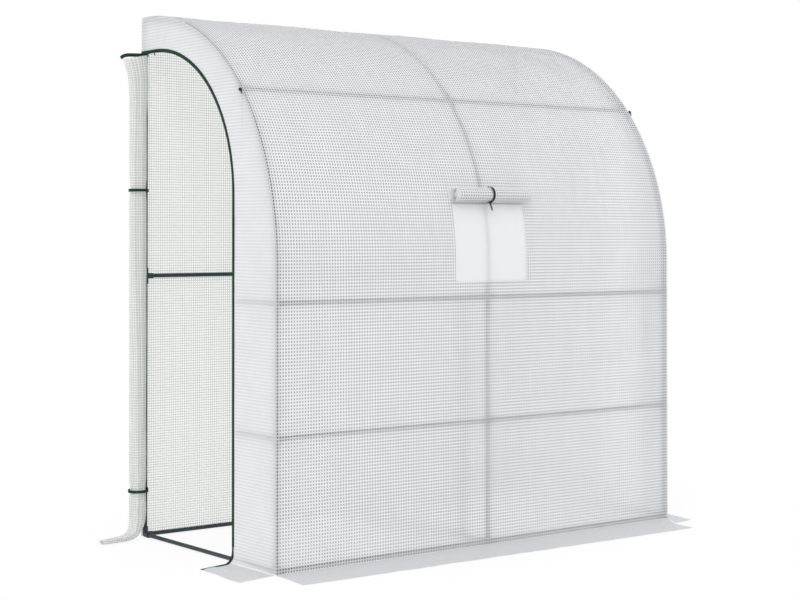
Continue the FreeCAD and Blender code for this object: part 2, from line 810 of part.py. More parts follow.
def window_roll():
    sheet_thickness = size("roll_sheet")
    outer_edges, outer_end = spiral(0)
    inner_edges, inner_end = spiral(sheet_thickness)
    film_radius = size("side_arch_radius") + outer_line
    tail = size("roll_tail")
    bead = 3 * sheet_thickness
    sag = film_radius - math.sqrt(film_radius ** 2 - (tail - bead) ** 2)
    seam_y = roll_radius + size("roll_gap") + sag - size("seam_gap")
    inner_y = roll_radius - sheet_thickness
    outline = [
        Vector(0, roll_radius, 0), Vector(0, roll_radius, tail - bead), Vector(0, seam_y, tail - bead),
        Vector(0, seam_y, tail), Vector(0, inner_y, tail), Vector(0, inner_y, 0),
    ]
    edges = [Part.makeLine(a, b) for a, b in zip(outline, outline[1:])]
    edges += outer_edges + inner_edges + [Part.makeLine(outer_end, inner_end)]
    solid = prism(edges, Vector(size("roll_left") + size("roll_right"), 0, 0))
    solid.translate(Vector(-size("roll_left"), 0, 0))
    return solid, Vector(0, seam_y, tail)


roll_solid, roll_seam = window_roll()
feature("window_roll", on_roll(roll_solid))


# Tie round the roll, open where the flap runs up to its seam, with a knot and a tail
def window_tie():
    clear = size("seam_gap")
    inner_radius = roll_radius + clear
    outer_radius = inner_radius + size("tie_thickness")
    half_span = size("tie_width") / 2
    start = Vector(-half_span, 0, 0)
    ring = Part.makeCylinder(outer_radius, 2 * half_span, start, Vector(1, 0, 0))
    ring = ring.cut(Part.makeCylinder(inner_radius, 2 * half_span, start, Vector(1, 0, 0)))
    opening = box(
        -2 * half_span, 2 * half_span, inner_radius / 2, 2 * inner_radius,
        -size("tie_width"), 2 * inner_radius,
    )
    ring = ring.cut(opening)
    knot_radius = size("tie_knot_radius")
    knot_y = -(outer_radius + knot_radius - size("tie_thickness"))
    knot = Part.makeSphere(knot_radius, Vector(0, knot_y, 0))
    down = Vector(0, math.sin(roll_angle), -math.cos(roll_angle))
    tail = Part.makeCylinder(size("tie_tail_radius"), size("tie_tail_length"), Vector(0, knot_y, 0), down)
    return ring.fuse([knot, tail]).removeSplitter()


feature("window_tie", on_roll(window_tie()))


# Closed outline of outward lobes, the first one pointing to -X
def lobed_outline(x, y, z, reach_x, reach_y):
    lobes = int(size("door_roll_lobes"))
    share = size("door_roll_lobe_share")
    step = 2 * math.pi / lobes

    def point(angle, scale):
        return Vector(x + reach_x * scale * math.cos(angle), y + reach_y * scale * math.sin(angle), z)

    edges = []
    for lobe in range(lobes):
        crest = math.pi + lobe * step
        edges.append(arc(point(crest - step / 2, share), point(crest, 1), point(crest + step / 2, share)))
    return Part.Wire(edges)


# Left door rolled up beside the rear post, its foot turned out over the floor
roll_edge = end_face("left") - size("door_roll_gap")
door_radius = size("door_roll_radius")
door_y = wall_face - size("door_roll_setback")
foot_reach = (size("roll_flare") - size("door_roll_gap")) / 2
crown_reach = size("door_roll_crown_width") / 2
foot_height = size("door_roll_foot_height")
door_top = size("door_roll_top")


def door_section(z, reach_x, reach_y, shift):
    return lobed_outline(roll_edge - reach_x, door_y - shift, z, reach_x, reach_y)


mid_reach = door_radius + (foot_reach - door_radius) / 4
feature("left_door_roll", Part.makeLoft([
    door_section(0, foot_reach, size("door_roll_foot_depth") / 2, size("door_roll_foot_shift")),
    door_section(foot_height / 3, mid_reach, door_radius, size("door_roll_foot_shift") / 4),
    door_section(foot_height, door_radius, door_radius, 0),
    door_section(door_top - size("door_roll_crown_height"), door_radius, door_radius, 0),
    door_section(door_top, crown_reach, size("door_roll_crown_depth") / 2, 0),
], True, True))

# Its half of the zip, gathered over the roll's top
zip_reach = crown_reach - size("flap_zip_margin")
zip_left = Vector(roll_edge - crown_reach - zip_reach, door_y - size("zip_width") / 2, door_top)
zip_right = Vector(roll_edge - crown_reach + zip_reach, zip_left.y, door_top)
zip_peak = Vector(roll_edge - crown_reach, zip_left.y, door_top + size("flap_zip_rise"))
feature("left_flap_zip", prism(
    [arc(zip_left, zip_peak, zip_right), Part.makeLine(zip_right, zip_left)], Vector(0, size("zip_width"), 0),
))


# Straight-sided loop round two circles
def loop_face(first, first_radius, second, second_radius):
    way = second - first
    base = math.atan2(way.y, way.x)
    lean = math.acos((first_radius - second_radius) / way.Length)

    def point(centre, radius, angle):
        return centre + Vector(radius * math.cos(angle), radius * math.sin(angle), 0)

    a0, a1 = point(first, first_radius, base + lean), point(first, first_radius, base - lean)
    b0, b1 = point(second, second_radius, base + lean), point(second, second_radius, base - lean)
    edges = [
        Part.makeLine(a0, b0),
        arc(b0, point(second, second_radius, base), b1),
        Part.makeLine(b1, a1),
        arc(a1, point(first, first_radius, base + math.pi), a0),
    ]
    return Part.Face(Part.Wire(edges))


# Ties that hold the rolled door to the rear post
def door_tie(height):
    roll_point = Vector(roll_edge - door_radius, door_y, height)
    post_point = Vector(left_rib, rear_post, height)
    gap = size("door_tie_gap")
    thickness = size("door_tie_thickness")
    tube_radius = size("tube_diameter") / 2
    outer = loop_face(roll_point, door_radius + gap + thickness, post_point, tube_radius + gap + thickness)
    inner = loop_face(roll_point, door_radius + gap, post_point, tube_radius + gap)
    rise = Vector(0, 0, size("door_tie_height"))
    return outer.extrude(rise).cut(inner.extrude(rise))


feature("left_door_ties", Part.makeCompound([
    door_tie(size("lower_tie_height")),
    door_tie(size("upper_tie_height")),
]))


# Right door drawn back in folds: a strip of alternating arcs under its curved top
fold_depth = size("flap_fold_depth")
flap_half = size("flap_thickness") / 2
flap_x = end_face("right") + size("flap_clearance") + fold_depth + flap_half
flap_rear = rear_film - size("right_rear_strip")
flap_front = front_face + size("flap_front_line")


def fold_edges(side_way):
    folds = int(size("flap_folds"))
    step = (flap_rear - flap_front) / folds
    lean = 2 * math.atan(2 * fold_depth / step)
    edges = []
    points = []
    for index in range(folds + 1):
        way = 1 if index % 2 == 0 else -1
        normal = Vector(math.cos(lean), way * math.sin(lean), 0) * (side_way * flap_half)
        points.append(Vector(flap_x, flap_rear - index * step, 0) + normal)
    for index in range(folds):
        way = 1 if index % 2 == 0 else -1
        crest = Vector(flap_x + way * fold_depth + side_way * flap_half, flap_rear - (index + 0.5) * step, 0)
        edges.append(arc(points[index], crest, points[index + 1]))
    return edges, points[0], points[-1]


def right_flap():
    outer_edges, outer_first, outer_last = fold_edges(1)
    inner_edges, inner_first, inner_last = fold_edges(-1)
    ends = [Part.makeLine(outer_first, inner_first), Part.makeLine(outer_last, inner_last)]
    zip_height = size("right_zip_height")
    top = zip_height + zip_centre("right").y - front_face - size("right_zip_line") - size("flap_droop")
    strip = prism(outer_edges + inner_edges + ends, Vector(0, 0, top))

    x0 = flap_x - 2 * fold_depth
    spring = Vector(x0, flap_front - flap_half, zip_height)
    crown = Vector(x0, flap_rear, top)
    centre = Vector(x0, flap_rear, zip_height)
    curve = Part.Arc(Part.Ellipse(crown, spring, centre), 0, math.pi / 2).toShape()
    ends = sorted(curve.Vertexes, key=lambda vertex: vertex.Z)
    foot_z = size("flap_foot")
    low, high = ends[0].Point, ends[1].Point
    rear_y = flap_rear + 2 * flap_half
    corners = [low, Vector(x0, low.y, foot_z), Vector(x0, rear_y, foot_z), Vector(x0, rear_y, high.z), high]
    edges = [curve] + [Part.makeLine(a, b) for a, b in zip(corners, corners[1:])]
    outline = prism(edges, Vector(4 * fold_depth, 0, 0))
    return strip.common(outline)


feature("right_door_flap", right_flap())

# Its half of the zip, down the front edge of the folds
zip_gap = size("seam_gap")
feature("right_flap_zip", box(
    flap_x - size("zip_width") / 2, flap_x + size("zip_width") / 2,
    flap_front - flap_half - size("flap_thickness") - zip_gap, flap_front - flap_half - zip_gap,
    size("flap_foot"), size("right_zip_height"),
))


# Knots of the ties that hold the cover to the frame, pressed against the film
knot_line = outer_line + size("knot_gap")
knot_edge = half_width + size("knot_gap")
cover_block = under_line(knot_line, middle - knot_edge, middle + knot_edge, 0, wall_face)


def cover_tie(x, y, z, tail_length=0):
    knot = Part.makeSphere(size("knot_radius"), Vector(x, y, z))
    knot = knot.cut(cover_block)
    if tail_length:
        tail_x = middle - knot_edge - size("tie_tail_radius")
        top = Vector(tail_x, y, z)
        tail = Part.makeCylinder(size("tie_tail_radius"), tail_length, top, Vector(0, 0, -1))
        knot = knot.fuse(tail).removeSplitter()
    return knot


rib_tie = arch_point(
    side_centre, size("side_arch_radius") + outer_line, math.radians(size("rib_tie_angle")),
)
crown_tie = Vector(0, wall_face - size("knot_radius"), number(CROWN_Z) + outer_line)
feature("cover_ties", Part.makeCompound([
    cover_tie(middle - half_width, rib_tie.y, rib_tie.z, size("rib_tie_tail")),
    cover_tie(middle + half_width, rib_tie.y, rib_tie.z),
    cover_tie(middle - size("left_crown_tie"), crown_tie.y, crown_tie.z),
    cover_tie(middle + size("right_crown_tie"), crown_tie.y, crown_tie.z),
]))


# Every object and every piece is sound before anything is written
document.recompute()
for item in document.Objects:
    if "Invalid" in item.State or "Error" in item.State:
        raise RuntimeError(f"{item.Label} failed: {item.State}")
for item in nodes:
    if item.Shape.isNull() or not item.Shape.isValid():
        raise RuntimeError(f"{item.Label} has no valid shape")

os.makedirs("parts", exist_ok=True)
for item in nodes:
    item.Shape.exportStep(f"parts/{item.Label}.step")
    bounds = item.Shape.BoundBox
    extent = [round(value, 1) for value in (
        bounds.XMin, bounds.XMax, bounds.YMin, bounds.YMax, bounds.ZMin, bounds.ZMax,
    )]
    print(item.Label, len(item.Shape.Solids), round(item.Shape.Volume), extent)
print("window seam", [round(value, 2) for value in on_roll(Part.Vertex(roll_seam)).Point])
for side in ("left", "right"):
    print(side, "zip centre", zip_centre(side), "coil radius", round(coil_radius_about(side), 2))
    pin = at_rest(side, Part.Vertex(pull_pin_place(side))).Point
    print(side, "pull pin", [round(value, 3) for value in pin])
print("flap hinge", round(flap_x, 3), round(flap_rear, 3))
print(len(nodes), "nodes")
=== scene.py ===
import json
import math

import bpy
import numpy as np
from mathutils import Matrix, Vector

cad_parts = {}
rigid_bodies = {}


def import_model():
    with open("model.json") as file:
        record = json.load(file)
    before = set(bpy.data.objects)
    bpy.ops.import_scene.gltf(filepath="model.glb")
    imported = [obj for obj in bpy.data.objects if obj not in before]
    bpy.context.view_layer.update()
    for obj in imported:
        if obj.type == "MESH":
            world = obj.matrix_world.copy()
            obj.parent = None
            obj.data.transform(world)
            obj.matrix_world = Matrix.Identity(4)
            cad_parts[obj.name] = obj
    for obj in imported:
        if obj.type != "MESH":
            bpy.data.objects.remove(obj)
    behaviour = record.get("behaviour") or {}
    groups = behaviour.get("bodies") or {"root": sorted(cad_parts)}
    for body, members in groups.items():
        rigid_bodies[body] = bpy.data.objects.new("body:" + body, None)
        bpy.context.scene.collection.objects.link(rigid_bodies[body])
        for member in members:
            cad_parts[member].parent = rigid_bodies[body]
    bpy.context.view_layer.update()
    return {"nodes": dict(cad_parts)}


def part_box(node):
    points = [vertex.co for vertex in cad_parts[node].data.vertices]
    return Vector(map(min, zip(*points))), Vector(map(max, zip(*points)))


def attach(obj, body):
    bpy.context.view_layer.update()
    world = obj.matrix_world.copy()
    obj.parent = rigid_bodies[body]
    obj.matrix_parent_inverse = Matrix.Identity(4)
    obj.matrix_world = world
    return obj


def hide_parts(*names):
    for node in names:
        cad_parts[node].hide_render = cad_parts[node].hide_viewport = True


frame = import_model()
print("frame loaded,", len(frame["nodes"]), "nodes")


# Camera at the photograph's place, turn and lens

cameraValues = {
    "place": (-4.3701, -5.5529, 1.2462), "pitch": math.radians(0.59), "yaw": 0.6566, "lens": 77.17,
    "shiftUp": -0.1097,
}


def addCamera(values):
    data = bpy.data.cameras.new("photoCamera")
    data.lens = values["lens"]
    data.sensor_width = 36
    data.shift_y = values["shiftUp"]
    camera = bpy.data.objects.new("photoCamera", data)
    camera.location = values["place"]
    camera.rotation_euler = (math.pi / 2 + values["pitch"], 0, -values["yaw"])
    bpy.context.scene.collection.objects.link(camera)
    bpy.context.scene.camera = camera


addCamera(cameraValues)
bpy.context.scene.view_settings.view_transform = "Standard"


# Helpers for node trees. A value is a number, a colour, a socket, or a node for its first output

white = (1, 1, 1, 1)


def feed(tree, socket, value):
    if isinstance(value, bpy.types.Node):
        value = value.outputs[0]
    if isinstance(value, bpy.types.NodeSocket):
        tree.links.new(value, socket)
    else:
        socket.default_value = value


# An input is named with _ for each space, or given by its number as i0, i1 and so on
def addNode(tree, kind, **inputs):
    made = tree.nodes.new("ShaderNode" + kind)
    for name, value in inputs.items():
        place = int(name[1:]) if name[0] == "i" and name[1:].isdigit() else name.replace("_", " ")
        feed(tree, made.inputs[place], value)
    return made


def calc(tree, operation, *values):
    made = addNode(tree, "Math", **{f"i{index}": value for index, value in enumerate(values)})
    made.operation = operation
    return made.outputs[0]


def smoothStep(tree, value, low, high, toLow=0.0, toHigh=1.0):
    made = addNode(tree, "MapRange", i0=value, i1=low, i2=high, i3=toLow, i4=toHigh)
    made.interpolation_type = "SMOOTHSTEP"
    return made.outputs[0]


def mixColour(tree, factor, first, second):
    made = tree.nodes.new("ShaderNodeMix")
    made.data_type = "RGBA"
    for index, value in ((0, factor), (6, first), (7, second)):  # 6 and 7 are the colour sockets
        feed(tree, made.inputs[index], value)
    return made.outputs[2]


# A colour made darker and lighter by a pattern: least where it is low, most where it is high
def toned(tree, colour, pattern, low, high, least, most):
    share = smoothStep(tree, pattern, low, high, least, most)
    return addNode(tree, "HueSaturation", Color=colour, Value=share)


def mixShaders(tree, share, first, second):
    return addNode(tree, "MixShader", i0=share, i1=first, i2=second)


def newMaterial(name):
    material = bpy.data.materials.new(name)
    material.use_nodes = True
    material.node_tree.nodes.clear()
    return material, material.node_tree


def withSurface(material, shader):
    addNode(material.node_tree, "OutputMaterial", Surface=shader)
    return material


def clothPlace(tree):  # the cloth's own two directions, in metres
    uv = tree.nodes.new("ShaderNodeUVMap")
    uv.uv_map = "cloth"
    split = addNode(tree, "SeparateXYZ", Vector=uv)
    return uv.outputs[0], split.outputs[0], split.outputs[1]


def objectPlace(tree):
    return tree.nodes.new("ShaderNodeTexCoord").outputs["Object"]


def noise(tree, vector, scale, detail):
    return addNode(tree, "TexNoise", Vector=vector, Scale=scale, Detail=detail).outputs["Fac"]


# Light, floor and background. The floor glows white for rays that see it, more so further out

studioValues = {
    "skyStrength": 0.98, "keyStrength": 0.9, "keyPlace": (-3.6, -3.6, 4.0), "keyAngle": 35,
    "floorSize": 60, "floorColour": (0.9, 0.9, 0.9, 1), "floorGlow": 0.85, "glowReach": (1.5, 4.0),
}


def addKeyLamp(values):
    data = bpy.data.lights.new("keyLamp", "SUN")
    data.energy = values["keyStrength"]
    data.angle = math.radians(values["keyAngle"])
    lamp = bpy.data.objects.new("keyLamp", data)
    lamp.location = values["keyPlace"]
    lamp.rotation_euler = (-lamp.location).to_track_quat("-Z", "Y").to_euler()
    bpy.context.scene.collection.objects.link(lamp)


def seenDirectly(tree):  # 1 for rays that show the background itself, in mirrors and through film too
    path = tree.nodes.new("ShaderNodeLightPath").outputs
    either = calc(tree, "MAXIMUM", path["Is Camera Ray"], path["Is Glossy Ray"])
    return calc(tree, "MAXIMUM", either, path["Is Transmission Ray"])


def addSky(values):
    world = bpy.data.worlds.new("studio")
    bpy.context.scene.world = world
    world.use_nodes = True
    tree = world.node_tree
    tree.nodes.clear()
    light = addNode(tree, "Background", Color=white, Strength=values["skyStrength"])
    backdrop = addNode(tree, "Background", Color=white, Strength=1)
    addNode(tree, "OutputWorld", Surface=mixShaders(tree, seenDirectly(tree), light, backdrop))


def addFloor(values):
    size = values["floorSize"] / 2
    corners = [(-size, -size, 0), (size, -size, 0), (size, size, 0), (-size, size, 0)]
    mesh = bpy.data.meshes.new("floor")
    mesh.from_pydata(corners, [], [(0, 1, 2, 3)])
    floor = bpy.data.objects.new("floor", mesh)
    bpy.context.scene.collection.objects.link(floor)
    material, tree = newMaterial("floor")
    matt = addNode(tree, "BsdfDiffuse", Color=values["floorColour"])
    glow = addNode(tree, "Emission", Color=white, Strength=1)
    away = addNode(tree, "VectorMath", i0=objectPlace(tree))
    away.operation = "LENGTH"
    near, far = values["glowReach"]
    spread = addNode(
        tree, "MapRange", i0=away.outputs["Value"], i1=near, i2=far, i3=values["floorGlow"], i4=1.0,
    )
    share = calc(tree, "MULTIPLY", seenDirectly(tree), spread)
    mesh.materials.append(withSurface(material, mixShaders(tree, share, matt, glow)))


addKeyLamp(studioValues)
addSky(studioValues)
addFloor(studioValues)
print("camera, light and floor done")


# Grid film: white threads on a clear sheet. The end film is nearly opaque, the rear film thin

# The front film's clear tint is dark grey, far darker than the rear copy of the same film: painted shade
# that dims the greenhouse's inside as seen through the front and roof
filmValues = {
    "pitch": 0.01225, "threadShare": 0.46, "uprightShare": 0.53, "softness": 0.1, "uprightShade": 1.0,
    "threadColour": (0.915, 0.92, 0.95, 1), "cellColour": (0.6, 0.61, 0.62, 1),
    "threadCover": 0.9, "cellCover": 0.05, "clearTint": (0.45, 0.465, 0.485, 1),
    "blurred": 0.85, "skinRoughness": 0.75, "skinIndex": 1.13,
    "glow": 0.34, "roughness": 0.42, "bump": 0.0004, "toneLeast": 0.965,
}
endFilmValues = {
    **filmValues, "threadColour": (0.93, 0.935, 0.955, 1), "cellColour": (0.8, 0.81, 0.84, 1),
    "threadCover": 0.96, "cellCover": 0.86, "uprightShade": 0.3, "clearTint": (0.93, 0.93, 0.945, 1),
}
# The rear film's threads are grey and darker than its cells, though they are the same white threads as on
# the front: painted shade on the film's inner side, away from the lamps
rearFilmValues = {
    **filmValues, "pitch": 0.0104, "threadShare": 0.3, "uprightShare": 0.3,
    "threadColour": (0.65, 0.67, 0.65, 1), "cellColour": (0.8, 0.82, 0.8, 1),
    "threadCover": 0.88, "cellCover": 0.05, "clearTint": (0.97, 0.98, 0.965, 1), "blurred": 0.0,
}
# The rolled door's cells are near white and half covered, and its threads are lighter than on the rear:
# painted light that lifts the bundle's own shade
bundleFilmValues = {
    **rearFilmValues, "threadShare": 0.26, "uprightShare": 0.26, "threadColour": (0.86, 0.88, 0.86, 1),
    "cellColour": (0.97, 0.98, 0.965, 1), "cellCover": 0.5,
}
# The hanging door's threads are lighter and its clear tint nearly white: painted light that lifts the shade
# the door hangs in
flapFilmValues = {
    **bundleFilmValues, "threadColour": (0.94, 0.95, 0.94, 1), "cellCover": 0.08,
    "clearTint": (0.99, 0.99, 0.99, 1),
}
# The rolled window flap's cells are opaque and nearly black: painted shade, standing for the dark inside of
# the roll seen through the clear cells
rollFilmValues = {
    **filmValues, "threadColour": (0.96, 0.965, 0.985, 1), "cellColour": (0.22, 0.24, 0.25, 1),
    "threadCover": 1.0, "cellCover": 1.0,
}


# 1 on a thread: where the place across it, in turns of the pitch, is near a whole number
def threadMask(tree, place, values, share):
    turns = calc(tree, "MULTIPLY", place, 1 / values["pitch"])
    offset = calc(tree, "SUBTRACT", calc(tree, "FRACT", turns), 0.5)
    fromMiddle = calc(tree, "MULTIPLY", calc(tree, "ABSOLUTE", offset), 2)
    edge, half = 1 - share, values["softness"] / 2
    return smoothStep(tree, fromMiddle, edge - half, edge + half)


# What shows through a cell: partly sharp, partly blurred by two rough skins that bend
# the light a little, one each way, so that only what touches the film stays sharp
def clearShader(tree, values, threads):
    tint = mixColour(tree, threads, values["clearTint"], white)
    sharp = addNode(tree, "BsdfTransparent", Color=tint)
    if not values["blurred"]:
        return sharp
    skins = [
        addNode(tree, "BsdfRefraction", Color=tint, Roughness=values["skinRoughness"], IOR=index)
        for index in (values["skinIndex"], 1 / values["skinIndex"])
    ]
    return mixShaders(tree, values["blurred"], sharp, mixShaders(tree, 0.5, *skins))


def thinSheet(tree, colour, glow, **inputs):  # glow is the share that is lit through from behind
    surface = addNode(tree, "BsdfPrincipled", Base_Color=colour, **inputs)
    return mixShaders(tree, glow, surface, addNode(tree, "BsdfTranslucent", Color=colour))


def coverOf(tree, values, threads):  # how much the sheet hides, from a cell's share to a thread's
    least, most = values["cellCover"], values["threadCover"]
    return calc(tree, "MULTIPLY_ADD", threads, most - least, least)


def gridFilm(name, values):
    material, tree = newMaterial(name)
    cloth, across, along = clothPlace(tree)
    upright = threadMask(tree, across, values, values["uprightShare"])
    upright = calc(tree, "MULTIPLY", upright, values["uprightShade"])
    threads = calc(tree, "MAXIMUM", upright, threadMask(tree, along, values, values["threadShare"]))
    colour = mixColour(tree, threads, values["cellColour"], values["threadColour"])
    colour = toned(tree, colour, noise(tree, cloth, 9, 3), 0.3, 0.7, values["toneLeast"], 1.0)
    height = addNode(tree, "Bump", Height=threads, Distance=values["bump"], Strength=0.6)
    sheet = thinSheet(tree, colour, values["glow"], Normal=height, Roughness=values["roughness"])
    if values["cellCover"] == 1:
        return withSurface(material, sheet)
    cover = coverOf(tree, values, threads)
    return withSurface(material, mixShaders(tree, cover, clearShader(tree, values, threads), sheet))


def plainFilm(name, colour, cover, glow):
    material, tree = newMaterial(name)
    colour = toned(tree, colour, noise(tree, clothPlace(tree)[0], 60, 2), 0.35, 0.65, 0.95, 1.0)
    sheet = thinSheet(tree, colour, glow, Roughness=0.5)
    clear = addNode(tree, "BsdfTransparent", Color=(0.95, 0.95, 0.95, 1))
    return withSurface(material, mixShaders(tree, cover, clear, sheet))


# Fine net of the window: threads at a pitch too small to see from the front

netValues = {
    "pitch": 0.0016, "threadShare": 0.5, "softness": 0.3, "colour": (0.93, 0.935, 0.945, 1),
    "cellCover": 0.95, "threadCover": 0.99, "glow": 0.35, "bump": 0.0003,
}


def fineNet(name, values):
    material, tree = newMaterial(name)
    _, across, along = clothPlace(tree)
    masks = [threadMask(tree, place, values, values["threadShare"]) for place in (across, along)]
    threads = calc(tree, "MAXIMUM", *masks)
    height = addNode(tree, "Bump", Height=threads, Distance=values["bump"], Strength=0.7)
    sheet = thinSheet(tree, values["colour"], values["glow"], Normal=height, Roughness=0.7)
    cover = coverOf(tree, values, threads)
    clear = addNode(tree, "BsdfTransparent", Color=white)
    return withSurface(material, mixShaders(tree, cover, clear, sheet))


# Powder coat on steel tube, and moulded plastic of the same green: fine grain and slight wear
def coated(name, colour, roughness, grain):
    material, tree = newMaterial(name)
    place = objectPlace(tree)
    wear = noise(tree, place, 6, 4)
    height = addNode(tree, "Bump", Height=noise(tree, place, 900, 2), Distance=grain, Strength=0.5)
    gloss = smoothStep(tree, wear, 0.2, 0.8, roughness - 0.06, roughness + 0.06)
    colour = toned(tree, colour, wear, 0.3, 0.7, 0.85, 1.15)
    return withSurface(material, addNode(
        tree, "BsdfPrincipled", Base_Color=colour, Normal=height, Roughness=gloss,
    ))


# Woven webbing: ribs across the tape and fainter ones along it
def webbing(name, colour, pitch):
    material, tree = newMaterial(name)
    _, across, along = clothPlace(tree)
    weave = {"pitch": pitch, "softness": 0.5}
    ribs, cross = [threadMask(tree, place, weave, 0.45) for place in (along, across)]
    woven = calc(tree, "MULTIPLY_ADD", cross, 0.4, ribs)
    height = addNode(tree, "Bump", Height=woven, Distance=0.0003, Strength=0.8)
    return withSurface(material, addNode(
        tree, "BsdfPrincipled", Base_Color=toned(tree, colour, woven, 0.0, 1.0, 1.15, 0.85),
        Normal=height, Roughness=0.75, Specular_IOR_Level=0.25,
    ))


def castMetal(name, colour):
    material, tree = newMaterial(name)
    gloss = smoothStep(tree, noise(tree, objectPlace(tree), 700, 3), 0.3, 0.7, 0.25, 0.45)
    return withSurface(material, addNode(
        tree, "BsdfPrincipled", Base_Color=colour, Roughness=gloss, Metallic=1,
    ))


finishValues = {
    "hem": {"colour": (0.95, 0.955, 0.965, 1), "cover": 0.85, "glow": 0.6},
    "skirt": {"colour": (0.71, 0.74, 0.765, 1), "cover": 0.96, "glow": 0.3},
    "tube": {"colour": (0.006, 0.024, 0.032, 1), "roughness": 0.5, "grain": 0.0001},
    "fitting": {"colour": (0.01, 0.03, 0.036, 1), "roughness": 0.5, "grain": 0.0002},
    "coil": {"colour": (0.006, 0.042, 0.021, 1), "roughness": 0.45, "grain": 0.00005},
    "tape": {"colour": (0.006, 0.046, 0.022, 1), "pitch": 0.0016},
    "tie": {"colour": (0.006, 0.038, 0.02, 1), "pitch": 0.0016},
    "metal": {"colour": (0.03, 0.09, 0.06, 1)},
}
filmMaterial = gridFilm("gridFilm", filmValues)
endMaterial = gridFilm("endFilm", endFilmValues)
rearMaterial = gridFilm("rearFilm", rearFilmValues)
bundleMaterial = gridFilm("bundledFilm", bundleFilmValues)
flapMaterial = gridFilm("hangingFilm", flapFilmValues)
rollMaterial = gridFilm("rolledFilm", rollFilmValues)
netMaterial = fineNet("windowNet", netValues)
hemMaterial = plainFilm("hemFilm", **finishValues["hem"])
skirtMaterial = plainFilm("skirtFilm", **finishValues["skirt"])
tubeMaterial = coated("tubeCoat", **finishValues["tube"])
fittingMaterial = coated("fittingPlastic", **finishValues["fitting"])
coilMaterial = coated("zipCoil", **finishValues["coil"])
tapeMaterial = webbing("zipTape", **finishValues["tape"])
tieMaterial = webbing("tieWebbing", **finishValues["tie"])
metalMaterial = castMetal("zipMetal", **finishValues["metal"])
print("materials done")


# Meshes: a grid of points becomes quads, and each corner keeps its place on the flat cloth

def addMesh(name, points, faces, corners, smooth=True, caps=0):  # the last faces, caps of them, stay flat
    mesh = bpy.data.meshes.new(name)
    mesh.from_pydata(points.tolist(), [], faces)
    mesh.uv_layers.new(name="cloth").data.foreach_set("uv", corners.astype(np.float32).ravel())
    shading = np.full(len(faces), smooth)
    shading[len(faces) - caps:] = False
    mesh.polygons.foreach_set("use_smooth", shading)
    made = bpy.data.objects.new(name, mesh)
    bpy.context.scene.collection.objects.link(made)
    return made


# Each quad joins a point with its next ones in the row and the column. wrap and loop close the grid
def gridFaces(rows, columns, wrap=False, loop=False):
    rowAt, columnAt = np.meshgrid(
        np.arange(rows - (not loop)), np.arange(columns - (not wrap)), indexing="ij",
    )
    nextRow = (rowAt + 1) % rows
    nextColumn = (columnAt + 1) % columns
    quads = np.stack([
        rowAt * columns + columnAt, rowAt * columns + nextColumn,
        nextRow * columns + nextColumn, nextRow * columns + columnAt,
    ], axis=-1)
    return quads.reshape(-1, 4), rowAt.ravel(), columnAt.ravel()


def gridCorners(cloth, rowAt, columnAt):  # the cloth's place at the four corners of each quad
    return np.stack([
        cloth[rowAt, columnAt], cloth[rowAt, columnAt + 1],
        cloth[rowAt + 1, columnAt + 1], cloth[rowAt + 1, columnAt],
    ], axis=1)


# points has rows and columns, and cloth gives the place on the flat cloth of each of them
def addGrid(name, points, cloth, flip=False, keep=None):
    faces, rowAt, columnAt = gridFaces(*points.shape[:2])
    corners = gridCorners(cloth, rowAt, columnAt)
    if keep is not None:
        faces, corners = faces[keep.ravel()], corners[keep.ravel()]
    if flip:
        faces, corners = faces[:, ::-1], corners[:, ::-1]
    used, places = np.unique(faces, return_inverse=True)
    return addMesh(name, points.reshape(-1, 3)[used], places.reshape(faces.shape).tolist(), corners)


def stacked(*parts):  # points from their measures, each a number or a whole array
    return np.stack(np.broadcast_arrays(*parts), axis=-1)


def closed(path):  # a path with its first point once more at the end
    return np.concatenate([path, path[:1]])


def pathRun(path):  # length travelled along a path at each of its points
    return np.concatenate([[0], np.cumsum(np.linalg.norm(np.diff(path, axis=0), axis=1))])


def pointsAt(at, run, path):  # points of a path at chosen lengths of its run
    return stacked(*[np.interp(at, run, part) for part in path.T])


def evenly(path, other, step):  # the same line, and what goes with it, with points at an even step
    run = pathRun(path)
    at = np.linspace(0, run[-1], int(run[-1] / step))
    return pointsAt(at, run, path), pointsAt(at, run, other)


def alongPolyline(points, share):  # points at a share of the length of a line with corners
    points = np.array(points, float)
    run = pathRun(points)
    return pointsAt(share * run[-1], run, points)


# Directions along a path: the first follows the hint, the second is square to it and to the path
def pathFrames(path, hints, loop=False):
    along = np.roll(path, -1, 0) - np.roll(path, 1, 0) if loop else np.gradient(path, axis=0)
    along = along / np.linalg.norm(along, axis=1, keepdims=True)
    first = hints - (hints * along).sum(axis=1, keepdims=True) * along
    first = first / np.linalg.norm(first, axis=1, keepdims=True)
    return first, np.cross(along, first)


# A ring of the section at each point of the path: the point, plus the section's first measure
# along the first direction and its second measure along the second. An open sweep has two flat ends
def addSweep(name, path, hints, section, loop=False, smooth=True):
    path = np.asarray(path, float)
    hints = np.broadcast_to(np.asarray(hints, float), path.shape)
    first, second = pathFrames(path, hints, loop)
    section = np.broadcast_to(section, (len(path),) + np.shape(section)[-2:])
    rings = path[:, None] + first[:, None] * section[..., :1] + second[:, None] * section[..., 1:]
    sides = section.shape[1]
    run = pathRun(closed(path) if loop else path)
    cloth = stacked(pathRun(closed(section[0])), run[:, None])
    faces, rowAt, columnAt = gridFaces(len(path), sides, True, loop)
    corners = gridCorners(cloth, rowAt, columnAt).reshape(-1, 2)
    faces = faces.tolist()
    if not loop:
        ring = np.arange(sides)
        faces += [ring[::-1].tolist(), (ring + (len(path) - 1) * sides).tolist()]
        corners = np.concatenate([corners, cloth[0, :-1][::-1], cloth[-1, :-1]])
    return addMesh(name, rings.reshape(-1, 3), faces, corners, smooth, 0 if loop else 2)


